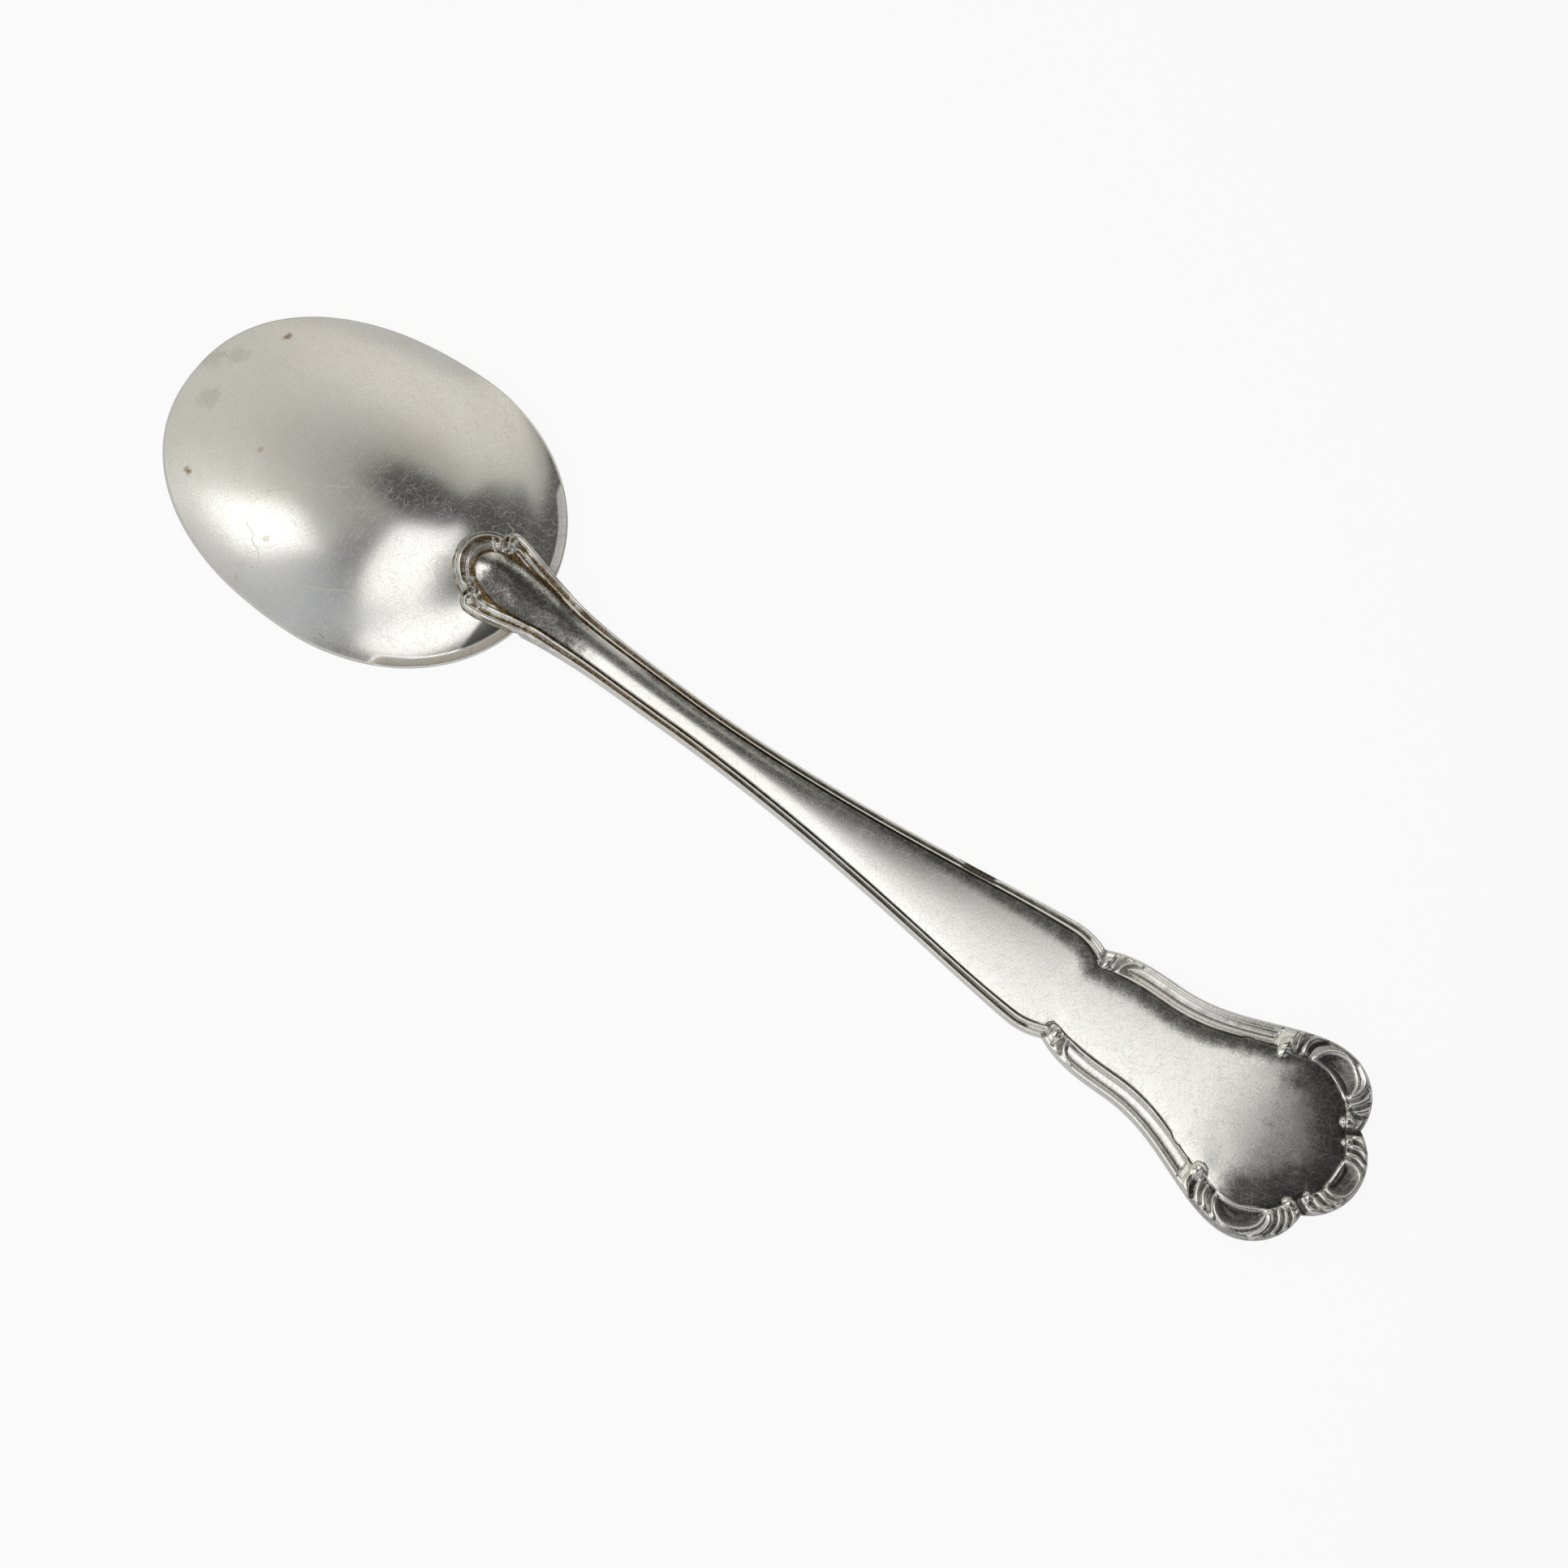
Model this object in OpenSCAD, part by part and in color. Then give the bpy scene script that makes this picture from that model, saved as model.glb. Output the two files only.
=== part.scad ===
// A silver teaspoon lying face down: a raised bowl, and a stem with a shaped border
// whose three-lobed heel is lapped over the bowl's back and soldered there.
// X runs from the bowl's tip to the end of the handle, Z is up, Y = 0 is the plane of symmetry,
// and the origin lies under the middle of the spoon, on the surface that it rests on.

/* [Bowl] */
// Length from the bowl's widest place to its tip
bowl_tip_l = 23.5; // [21:0.1:26]
// Length from the bowl's widest place to the neck
bowl_neck_l = 19.5; // [17.5:0.1:22]
// Greatest width of the bowl
bowl_w = 32.2; // [28:0.1:36]
// Height of the bowl's back above its rim
bowl_depth = 6.5; // [5:0.1:8]
// Thickness of the bowl in the middle
bowl_wall = 0.75; // [0.7:0.05:1.1]
// Height of the rim's edge
rim_t = 0.8; // [0.7:0.05:1]
// Width of the rim's flat lip
rim_w = 0.8; // [0.6:0.05:1.2]
// Height of the rim at the neck above the rim at the tip
rim_rise = 3.1; // [2.6:0.1:3.6]

/* [Heel] */
// Distance from the neck to the middle of the heel's round lobe
heel_l = 5.25; // [4.6:0.05:6]
// Radius of the heel's middle lobe
heel_lobe_r = 3.65; // [3.3:0.05:4]
// Radius of each side lobe of the heel
side_lobe_r = 1.0; // [0.8:0.05:1.2]
// Width over both side lobes
heel_w = 9.2; // [8.6:0.1:9.8]
// Height of the heel's border bead above the bowl
heel_bead_t = 0.65; // [0.5:0.05:0.8]
// Height of the heel's tongue above the bowl
heel_tongue_t = 1.0; // [0.8:0.05:1.3]
// Width of the heel's border
heel_border_w = 1.35; // [1.1:0.05:1.6]

/* [Solder] */
// Gap of the soldered lap between the bowl's back and the heel
lap_gap = 0.12; // [0.1:0.01:0.16]
// Distance that the solder shows beyond the heel
solder_margin = 0.18; // [0.1:0.01:0.3]
// Clearance on each face of the solder film
film_clear = 0.03; // [0.02:0.005:0.04]

/* [Stem] */
// Length from the neck to the stem's narrowest place
waist_l = 18; // [15:0.5:21]
// Length from the narrowest place to the shoulder before the knuckle
swell_l = 43; // [38:0.5:48]
// Length from the shoulder to the notch of the knuckle
knuckle_l = 3.2; // [2.8:0.1:4]
// Length from the knuckle to the level part of the cove
cove_l = 7.8; // [7:0.1:9]
// Length from there to the corner lobes
flare_l = 16.4; // [15:0.2:18]
// Length from the corner lobes to the end of the handle
end_l = 8.6; // [8:0.1:9]
// Width at the narrowest place
waist_w = 4.5; // [4:0.1:5.2]
// Width at the shoulder
shoulder_w = 11.9; // [11:0.1:12.6]
// Width at the notch of the knuckle
knuckle_w = 10.6; // [10:0.1:11]
// Width at the level part of the cove
cove_w = 13.1; // [12.6:0.1:14]
// Width over the corner lobes
terminal_w = 21.4; // [20:0.1:23]
// Reach of each corner lobe from its middle towards the end
corner_lobe_l = 5.6; // [5.3:0.05:5.8]
// Reach of each corner lobe from its middle to the side
corner_lobe_w = 5.45; // [5.1:0.05:5.8]
// Radius of the lobe at the end
end_lobe_r = 5.6; // [5.3:0.05:5.9]

/* [Section] */
// Thickness of the stem from the neck to its narrowest place
neck_t = 2.4; // [2.1:0.1:2.9]
// Thickness of the panel at the shoulder
panel_t = 1.5; // [1.4:0.05:2]
// Extra thickness of the pillow in the terminal
pillow_t = 0.35; // [0.1:0.05:0.5]
// Thickness of the border at the neck
neck_border_t = 1.8; // [1.6:0.05:2.1]
// Thickness of the border from the shoulder to the end
border_t = 1.45; // [1.3:0.05:1.7]
// Width of the reeded border along the stem
reed_w = 1.0; // [0.8:0.05:1.2]
// Width of the coved border of the terminal
cove_border_w = 2.3; // [2:0.05:2.6]
// Height of the stem's face at the neck above its lowest place
neck_rise = 2.3; // [1.9:0.1:2.6]
// Distance from the narrowest place to the lowest place of the face
crest_l = 13; // [10:0.5:18]
// Height of the face at the end above its lowest place
end_rise = 1.5; // [1:0.1:2.5]
// Depth that wear has taken off the lowest place
wear_t = 0.06; // [0.04:0.01:0.1]

/* [Hidden] */

overall_l = bowl_tip_l + bowl_neck_l + waist_l + swell_l + knuckle_l + cove_l + flare_l + end_l;
tip_x = -overall_l / 2;
bowl_x = tip_x + bowl_tip_l;
neck_x = bowl_x + bowl_neck_l;
heel_x = neck_x - heel_l;
waist_x = neck_x + waist_l;
crest_x = waist_x + crest_l;
shoulder_x = waist_x + swell_l;
knuckle_x = shoulder_x + knuckle_l;
cove_x = knuckle_x + cove_l;
corner_x = cove_x + flare_l;
end_x = corner_x + end_l;
step_x = neck_x + lap_gap;

// The terminal's rays start this share of the way from the cove to the corner lobes
focus_share = 0.545;
focus_x = cove_x + focus_share * flare_l;
// The heel blends into the stem over this share of the way from the neck to the waist
heel_run_share = 0.22;
// The face drops from the bowl's neck to the stem over this share of the lap's gap
step_share = 0.8;

// Powers of the curves: they have no unit
tip_power = 2.2;
shoulder_power = 2.08;
dome_power = 2.2;
neck_ease_share = 2.4;
neck_ease_power = 1.5;
face_power_neck = 2.5;
face_power_end = 1.7;
swell_in_power = 1.9;
swell_out_power = 1.25;
knuckle_power = 2.2;
cove_power = 3.2;
flare_power = 1.15;

// Half-width from the waist back to the heel: share of the way, share of the gain in width
heel_flank_shares = [[0, 0], [0.4, 0.06], [0.58, 0.18], [0.73, 0.39], [0.85, 0.69], [0.95, 0.93], [1, 1]];
// The border's section: share of its width from the edge, share of half its thickness
border_shares = [[0, 0.35], [0.1, 0.8], [0.24, 1], [0.55, 0.5], [0.85, 0.93], [1, 0.62]];
// Places across the panel, from the border to the middle
panel_shares = [0.25, 0.5, 0.75];
// Rings of the bowl's back and of its hollow, as shares of the way out from the middle
ring_shares = [0.985, 0.95, 0.88, 0.79, 0.68, 0.55, 0.4, 0.22];
// Heights of the two corners of the rim's edge, as shares of its thickness
edge_low_share = 0.3;
edge_high_share = 0.75;
// Inset of the lip's outer corner, as a share of the lip's width
lip_round_share = 0.18;

// Steps round the bowl, and along each stretch of the handle's outline
sector_steps = 56;
// Steps of the search for where a ray meets a flank, and of the halving that finds a notch
ray_steps = 9;
halving_steps = 24;
heel_lobe_steps = 6;
side_lobe_steps = 4;
lap_steps = 4;
waist_steps = 6;
swell_steps = 13;
knuckle_steps = 3;
cove_steps = 5;
flare_steps = 3;
corner_steps = 12;
end_lobe_steps = 4;
film_ring_shares = [1, 0.75, 0.45];

function clamp01(u) = max(0, min(1, u));
function smooth(u) = let (t = clamp01(u)) t * t * (3 - 2 * t);
function mix(a, b, u) = a + (b - a) * u;
function steps(a, b, n) = [for (i = [1 : n]) mix(a, b, i / n)];

// Slope of a table of rows at row i, from its neighbours
function row_slope(rows, i) =
    let (a = max(0, i - 1), b = min(len(rows) - 1, i + 1))
    (rows[b][1] - rows[a][1]) / (rows[b][0] - rows[a][0]);

// Value at u of the smooth curve through a table of rows
function curve_at(rows, u, i = 0) =
    u > rows[i + 1][0] && i < len(rows) - 2 ? curve_at(rows, u, i + 1) :
    let (
        run = rows[i + 1][0] - rows[i][0],
        t = clamp01((u - rows[i][0]) / run),
        a = row_slope(rows, i) * run,
        b = row_slope(rows, i + 1) * run,
        rise = rows[i + 1][1] - rows[i][1]
    )
    rows[i][1] + a * t + (3 * rise - 2 * a - b) * t * t + (a + b - 2 * rise) * t * t * t;

// Distance along a ray from the origin at angle phi to the far side of an oval, or 0
function ray_oval(phi, cx, cy, rx, ry) =
    let (
        d = [cos(phi) / rx, sin(phi) / ry],
        c = [cx / rx, cy / ry],
        root = pow(d * c, 2) - (d * d) * (c * c - 1)
    )
    root > 0 ? (d * c + sqrt(root)) / (d * d) : 0;

// The bowl: an egg of two half superellipses, and a dome that eases out towards the neck
function bowl_rho(x, y) =
    let (p = x < bowl_x ? tip_power : shoulder_power, reach = x < bowl_x ? bowl_tip_l : bowl_neck_l)
    pow(pow(abs(x - bowl_x) / reach, p) + pow(abs(y) / (bowl_w / 2), p), 1 / p);
function rim_z(x) = rim_rise * smooth((x - tip_x) / (neck_x - tip_x));
function dome(x, rho) =
    let (
        u = clamp01((x - bowl_x) / bowl_neck_l),
        ease = 1 + neck_ease_share * pow(u, neck_ease_power)
    )
    pow(1 - pow(clamp01(rho), dome_power), ease);
function bowl_back(x, y) = rim_z(x) + rim_t + bowl_depth * dome(x, bowl_rho(x, y));
function bowl_face(x, rho) = rim_z(x) + (bowl_depth + rim_t - bowl_wall) * dome(x, rho);

function signed_power(v, p) = sign(v) * pow(abs(v), p);
function bowl_point(a, rho) =
    let (p = cos(a) < 0 ? tip_power : shoulder_power, reach = cos(a) < 0 ? bowl_tip_l : bowl_neck_l)
    [bowl_x + rho * reach * signed_power(cos(a), 2 / p), rho * signed_power(sin(a), 2 / p) * bowl_w / 2];

// The handle's half-width along the stem
function heel_flank(x) =
    mix(waist_w, heel_w, curve_at(heel_flank_shares, (waist_x - x) / (waist_x - heel_x))) / 2;
function swell(x) =
    let (u = (x - waist_x) / swell_l)
    mix(waist_w, shoulder_w, 1 - pow(1 - pow(u, swell_in_power), swell_out_power)) / 2;
function knuckle(x) = mix(shoulder_w, knuckle_w, pow((x - shoulder_x) / knuckle_l, knuckle_power)) / 2;
function cove(x) = mix(cove_w, knuckle_w, pow(1 - (x - knuckle_x) / cove_l, cove_power)) / 2;
function flare(x) =
    mix(cove_w, terminal_w, smooth(pow(clamp01((x - cove_x) / flare_l), flare_power))) / 2;
function half_w(x) =
    x < waist_x ? heel_flank(x) :
    x < shoulder_x ? swell(x) :
    x < knuckle_x ? knuckle(x) :
    x < cove_x ? cove(x) : flare(x);

// The handle's outline on rays from the heel's lobe and from the terminal's focus
side_lobe_y = heel_w / 2 - side_lobe_r;
function side_lobe_ray(phi) = ray_oval(phi, 0, side_lobe_y, side_lobe_r, side_lobe_r);
function heel_ray(phi) = max(heel_lobe_r, side_lobe_ray(phi));

corner_lobe_y = terminal_w / 2 - corner_lobe_w;
end_lobe_x = end_x - end_lobe_r;
function corner_ray(phi) = ray_oval(phi, corner_x - focus_x, corner_lobe_y, corner_lobe_l, corner_lobe_w);
function end_ray(phi) = ray_oval(phi, end_lobe_x - focus_x, 0, end_lobe_r, end_lobe_r);
function flare_ray(phi, r, n) =
    n == 0 ? r : flare_ray(phi, half_w(min(focus_x + r * cos(phi), corner_x)) / sin(phi), n - 1);
corner_phi = atan2(terminal_w / 2, corner_x - focus_x);
function terminal_ray(phi) =
    phi > corner_phi ? flare_ray(phi, half_w(focus_x), ray_steps) : max(corner_ray(phi), end_ray(phi));

// Angles of the two notches, each halved down to where one lobe gives way to the next
function heel_crossing(a, b, n) =
    let (m = (a + b) / 2)
    n == 0 ? m : side_lobe_ray(m) > heel_lobe_r ? heel_crossing(m, b, n - 1) : heel_crossing(a, m, n - 1);
function end_crossing(a, b, n) =
    let (m = (a + b) / 2)
    n == 0 ? m : corner_ray(m) > end_ray(m) ? end_crossing(a, m, n - 1) : end_crossing(m, b, n - 1);
heel_notch = heel_crossing(90, 180, halving_steps);
end_notch = end_crossing(0, corner_phi, halving_steps);

// Stations round one side of the outline: foot on the middle line, angle of the ray, its length
function heel_station(phi) = [heel_x, phi, heel_ray(phi)];
function stem_station(x) = [x, 90, half_w(x)];
function terminal_station(phi) = [focus_x, phi, terminal_ray(phi)];
step_end_x = step_x + step_share * lap_gap;
half_stations = concat(
    [heel_station(180)],
    [for (phi = steps(180, heel_notch, heel_lobe_steps)) heel_station(phi)],
    [for (phi = steps(heel_notch, 90, side_lobe_steps)) heel_station(phi)],
    [for (x = steps(heel_x, step_x, lap_steps)) stem_station(x)],
    [for (x = concat([step_end_x], steps(step_end_x, waist_x, waist_steps))) stem_station(x)],
    [for (x = steps(waist_x, shoulder_x, swell_steps)) stem_station(x)],
    [for (x = steps(shoulder_x, knuckle_x, knuckle_steps)) stem_station(x)],
    [for (x = steps(knuckle_x, cove_x, cove_steps)) stem_station(x)],
    [for (x = steps(cove_x, focus_x, flare_steps)) stem_station(x)],
    [for (phi = steps(90, end_notch, corner_steps)) terminal_station(phi)],
    [for (phi = steps(end_notch, 0, end_lobe_steps)) terminal_station(phi)]
);
half_n = len(half_stations);
// The whole outline: the upper side, then the lower side backwards
stations = concat(half_stations,
    [for (i = [half_n - 2 : -1 : 1]) let (s = half_stations[i]) [s[0], -s[1], s[2]]]);
station_n = len(stations);

// Heights of the handle: its face, its middle plane, and the thicknesses of panel and border
function face_z(x) =
    (x < crest_x
        ? neck_rise * pow((crest_x - x) / (crest_x - neck_x), face_power_neck)
        : end_rise * pow((x - crest_x) / (end_x - crest_x), face_power_end)) - wear_t;
function panel_thick(x) =
    mix(neck_t, panel_t, smooth((x - waist_x) / swell_l))
    + pillow_t * smooth((x - knuckle_x) / (focus_x - knuckle_x));
function border_thick(x) = mix(neck_border_t, border_t, smooth((x - waist_x) / swell_l));
function middle_z(x) = face_z(x) + panel_thick(min(x, focus_x)) / 2;
function border_w_at(s) =
    s[0] <= heel_x ? heel_border_w :
    s[0] < waist_x ? mix(heel_border_w, reed_w, smooth((s[0] - heel_x) / (waist_x - heel_x))) :
    mix(reed_w, cove_border_w, smooth((s[0] - shoulder_x) / (knuckle_x + knuckle_l - shoulder_x)));

// A column is [border share, panel share]: it runs from the edge in to the middle line
columns = concat(
    [for (row = border_shares) [row[0], 0]],
    [for (k = panel_shares) [1, k]]
);
column_n = len(columns);
function column_xy(s, c) =
    let (bw = border_w_at(s), r = mix(s[2] - bw * c[0], 0, c[1]))
    [s[0] + r * cos(s[1]), r * sin(s[1])];

// Half-thickness at a column: the border's section, then a crown over the panel
function crown(foot, top, k) = mix(foot, top, 1 - (1 - k) * (1 - k));
function border_share(i) = border_shares[min(i, len(border_shares) - 1)][1];
function half_thick(s, i, k, x) =
    let (edge = border_thick(x) / 2 * border_share(i))
    k == 0 ? edge : crown(edge, panel_thick(s[0]) / 2, k);
function heel_thick(i, k) =
    let (edge = heel_bead_t * border_share(i))
    k == 0 ? edge : crown(edge, heel_tongue_t, k);
function back_height(s, i, k, x, y) =
    let (
        heel = bowl_back(min(x, neck_x), y) + lap_gap + heel_thick(i, k),
        stem = middle_z(x) + half_thick(s, i, k, x)
    )
    mix(heel, stem, smooth((x - neck_x) / (heel_run_share * waist_l)));
function face_height(s, i, k, x, y) =
    x <= step_x ? bowl_back(x, y) + lap_gap : max(0, middle_z(x) - half_thick(s, i, k, x));

function column_k(i) = i < column_n ? columns[i][1] : 1;
function handle_point(j, i, back) =
    let (
        s = stations[j],
        p = i < column_n ? column_xy(s, columns[i]) : [s[0], 0],
        z = back ? back_height(s, i, column_k(i), p.x, p.y) : face_height(s, i, column_k(i), p.x, p.y)
    )
    [p.x, p.y, z];

// Feet on the middle line: one for each fan and one for each station of the stem
function same_foot(a, b) = stations[a][0] == stations[b][0];
feet = [for (j = [0 : half_n - 1]) if (j == 0 || !same_foot(j, j - 1)) j];
function foot_at(j) = let (x = stations[j][0]) [for (f = [0 : len(feet) - 1]) if (stations[feet[f]][0] == x) f][0];
foot_of = [for (j = [0 : station_n - 1]) foot_at(j)];
sheet_n = station_n * column_n + len(feet);

function sheet_points(back) = concat(
    [for (j = [0 : station_n - 1]) for (i = [0 : column_n - 1]) handle_point(j, i, back)],
    [for (f = feet) handle_point(f, column_n, back)]
);
// Triangles of one sheet; turn is true where they have to be wound the other way
function wound(t, turn) = turn ? [t[0], t[2], t[1]] : t;
function sheet_faces(base, turn) = [
    for (j = [0 : station_n - 1])
    let (n = (j + 1) % station_n)
    for (i = [0 : column_n - 1])
    let (
        last = i == column_n - 1,
        a = base + j * column_n + i,
        b = base + n * column_n + i,
        c = last ? base + station_n * column_n + foot_of[n] : b + 1,
        d = last ? base + station_n * column_n + foot_of[j] : a + 1
    )
    each c == d ? [wound([a, b, c], turn)] : [wound([a, b, c], turn), wound([a, c, d], turn)]
];
function wall_faces(top, bottom, n, stride) = [
    for (j = [0 : n - 1])
    let (a = j * stride, b = ((j + 1) % n) * stride)
    each [[top + a, bottom + b, top + b], [top + a, bottom + a, bottom + b]]
];

// Rings of points joined into bands, with a point closing each end
function band_faces(rings, n) = [
    for (r = [0 : rings - 2]) for (j = [0 : n - 1])
    let (a = r * n + j, b = r * n + (j + 1) % n)
    each [[a, b + n, b], [a, a + n, b + n]]
];
function cap_faces(first, n, apex, turn) = [
    for (j = [0 : n - 1]) wound([first + j, first + (j + 1) % n, apex], turn)
];
module ringed_solid(rings, bottom_apex, top_apex) {
    n = len(rings[0]);
    count = len(rings) * n;
    points = concat([for (ring = rings) each ring], [bottom_apex, top_apex]);
    faces = concat(
        band_faces(len(rings), n),
        cap_faces(0, n, count, false),
        cap_faces(count - n, n, count + 1, true)
    );
    polyhedron(points = points, faces = faces);
}

// The raised bowl: the hollow, the flat lip, the edge and the back, from the inside out
module bowl() {
    lip = 1 - rim_w / (bowl_w / 2);
    lip_round = 1 - lip_round_share * (1 - lip);
    angles = [for (i = [0 : sector_steps - 1]) i * 360 / sector_steps];
    function hollow_ring(share) = [
        for (a = angles) let (p = bowl_point(a, share * lip)) [p.x, p.y, bowl_face(p.x, share)]
    ];
    function rim_ring(share, h) = [
        for (a = angles) let (p = bowl_point(a, share)) [p.x, p.y, rim_z(p.x) + h]
    ];
    function back_ring(share) = [
        for (a = angles) let (p = bowl_point(a, share)) [p.x, p.y, bowl_back(p.x, p.y)]
    ];
    inside = [for (i = [len(ring_shares) - 1 : -1 : 0]) hollow_ring(ring_shares[i])];
    edge = [
        rim_ring(lip, 0),
        rim_ring(lip_round, 0),
        rim_ring(1, rim_t * edge_low_share),
        rim_ring(1, rim_t * edge_high_share)
    ];
    outside = [for (share = ring_shares) back_ring(share)];
    color("silver")
    ringed_solid(concat(inside, edge, outside),
        [bowl_x, 0, bowl_face(bowl_x, 0)], [bowl_x, 0, bowl_back(bowl_x, 0)]);
}

// The film of solder in the lap: it follows the heel's outline and shows a little beyond it
module solder_film() {
    flank_phi = atan2(half_w(step_x) + solder_margin, step_x - heel_x);
    function film_ray(phi) =
        let (p = abs(phi))
        p >= 90 ? heel_ray(p) + solder_margin :
        p > flank_phi ? side_film_ray(p, heel_w / 2, ray_steps) : (neck_x - heel_x) / cos(p);
    function side_film_ray(phi, r, n) =
        n == 0 ? r :
        side_film_ray(phi, (half_w(min(heel_x + r * cos(phi), step_x)) + solder_margin) / sin(phi), n - 1);
    angles = concat(
        [0, flank_phi / 2],
        [flank_phi],
        steps(flank_phi, 90, lap_steps + 1),
        steps(90, heel_notch, side_lobe_steps),
        steps(heel_notch, 180, heel_lobe_steps)
    );
    round_angles = concat(angles, [for (i = [len(angles) - 2 : -1 : 1]) -angles[i]]);
    function film_ring(share, lift) = [
        for (phi = round_angles)
        let (r = share * film_ray(phi), x = heel_x + r * cos(phi), y = r * sin(phi))
        [x, y, bowl_back(x, y) + lift]
    ];
    low = film_clear;
    high = lap_gap - film_clear;
    inner = [for (i = [len(film_ring_shares) - 1 : -1 : 0]) film_ring(film_ring_shares[i], low)];
    outer = [for (share = film_ring_shares) film_ring(share, high)];
    color("tan")
    ringed_solid(concat(inner, outer),
        [heel_x, 0, bowl_back(heel_x, 0) + low], [heel_x, 0, bowl_back(heel_x, 0) + high]);
}

// The handle: one sheet for the back and one for the face, joined round the outline
module handle() {
    points = concat(sheet_points(true), sheet_points(false));
    faces = concat(
        sheet_faces(0, false),
        sheet_faces(sheet_n, true),
        wall_faces(0, sheet_n, station_n, column_n)
    );
    color("silver") polyhedron(points = points, faces = faces);
}

bowl();
solder_film();
handle();
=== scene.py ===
"""Looks of a silver teaspoon that lies face down: the raised bowl, the chased handle and their solder.

Lengths are in millimetres until a mesh is made, X runs from the bowl's tip to the end of the
handle, Z is up, and Y = 0 is the plane of symmetry. Both sides of the handle share one plan, and
differ only in their chased lines, knobs and wear.
"""

import bpy
import numpy as np
from mathutils import Matrix, Vector


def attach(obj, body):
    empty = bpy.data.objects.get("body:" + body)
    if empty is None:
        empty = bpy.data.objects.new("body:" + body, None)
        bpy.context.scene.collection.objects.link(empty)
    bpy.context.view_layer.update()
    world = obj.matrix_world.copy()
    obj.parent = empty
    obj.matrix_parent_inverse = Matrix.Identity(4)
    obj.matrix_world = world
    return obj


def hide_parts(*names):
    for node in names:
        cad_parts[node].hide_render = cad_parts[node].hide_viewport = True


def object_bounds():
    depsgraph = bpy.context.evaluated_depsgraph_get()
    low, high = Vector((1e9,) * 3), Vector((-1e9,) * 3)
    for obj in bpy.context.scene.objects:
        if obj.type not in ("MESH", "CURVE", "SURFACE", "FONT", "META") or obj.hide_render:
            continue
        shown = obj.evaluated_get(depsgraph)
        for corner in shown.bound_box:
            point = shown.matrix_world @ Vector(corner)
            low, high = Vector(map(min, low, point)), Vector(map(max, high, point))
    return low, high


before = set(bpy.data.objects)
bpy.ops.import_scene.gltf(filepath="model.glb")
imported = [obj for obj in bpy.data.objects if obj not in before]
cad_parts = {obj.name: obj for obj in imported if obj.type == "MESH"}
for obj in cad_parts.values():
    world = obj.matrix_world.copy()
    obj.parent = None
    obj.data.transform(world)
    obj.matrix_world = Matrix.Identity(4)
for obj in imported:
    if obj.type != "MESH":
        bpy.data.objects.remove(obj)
cad_low, cad_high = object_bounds()

MM = 0.001

# Plan of the bowl and of the handle, from the frame's two ends
TIP_X = cad_low.x / MM
END_X = cad_high.x / MM
CROWN_Z = cad_high.z / MM
BOWL_TIP_L = 23.5
BOWL_NECK_L = 19.5
BOWL_W = 32.2
HEEL_L = 5.25
HEEL_LOBE_R = 3.65
SIDE_LOBE_R = 1.0
HEEL_W = 9.2
WAIST_L = 18.0
SWELL_L = 43.0
KNUCKLE_L = 3.2
COVE_L = 7.8
FLARE_L = 16.4
WAIST_W = 4.5
SHOULDER_W = 11.9
KNUCKLE_W = 10.6
COVE_W = 13.1
TERMINAL_W = 21.4
CORNER_LOBE_L = 5.6
CORNER_LOBE_W = 5.45
END_LOBE_R = 5.6
CREST_L = 13.0
FOCUS_SHARE = 0.545

BOWL_X = TIP_X + BOWL_TIP_L
NECK_X = BOWL_X + BOWL_NECK_L
HEEL_X = NECK_X - HEEL_L
WAIST_X = NECK_X + WAIST_L
CREST_X = WAIST_X + CREST_L
SHOULDER_X = WAIST_X + SWELL_L
KNUCKLE_X = SHOULDER_X + KNUCKLE_L
COVE_X = KNUCKLE_X + COVE_L
CORNER_X = COVE_X + FLARE_L
FOCUS_X = COVE_X + FOCUS_SHARE * FLARE_L
HEEL_FLANK = [[0, 0], [0.4, 0.06], [0.58, 0.18], [0.73, 0.39], [0.85, 0.69], [0.95, 0.93], [1, 1]]
# Powers of the curves that widen and bend the handle
SWELL_POWERS = (1.9, 1.25)
KNUCKLE_POWER = 2.2
COVE_POWER = 3.2
FLARE_POWER = 1.15
NECK_BEND = 2.5
END_BEND = 1.7

# Heights and thicknesses
BOWL_DEPTH = 6.5
BOWL_WALL = 0.75
RIM_T = 0.8
RIM_RISE = 3.1
LAP_GAP = 0.12
NECK_T = 2.4
PANEL_T = 1.5
PILLOW_T = 0.35
NECK_BORDER_T = 1.8
BORDER_T = 1.45
HEEL_BEAD_T = 0.7
HEEL_TONGUE_T = 1.0
NECK_RISE = 2.3
END_RISE = 1.5
WEAR_T = 0.06
# Heights of the solder's two faces over the bowl's back
SOLDER_LOW = 0.03
SOLDER_HIGH = 0.09
HEEL_EASE_L = 0.22 * WAIST_L
STEP_X = NECK_X + LAP_GAP


def smooth(u):
    """Eases from 0 to 1 with level ends: u squared times (3 - 2u), with u held between 0 and 1."""
    t = np.clip(u, 0, 1)
    return t * t * (3 - 2 * t)


def ramp(x, start, run):
    """0 up to start, 1 beyond the run that follows, and straight between."""
    return np.clip((x - start) / run, 0, 1)


def rise(x, start, run):
    """0 up to start, easing to 1 over the run that follows."""
    return smooth((x - start) / run)


def fall(x, end, run):
    """1 up to a run before end, easing to 0 at end."""
    return smooth((end - x) / run)


def hump(x, middle, half, power=2):
    """1 at the middle, and e to the minus (distance from it over half) to an even power beside it."""
    return np.exp(-(((x - middle) / half) ** power))


def mix(a, b, u):
    """The value a share u of the way from a to b."""
    return a + (b - a) * u


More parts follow.
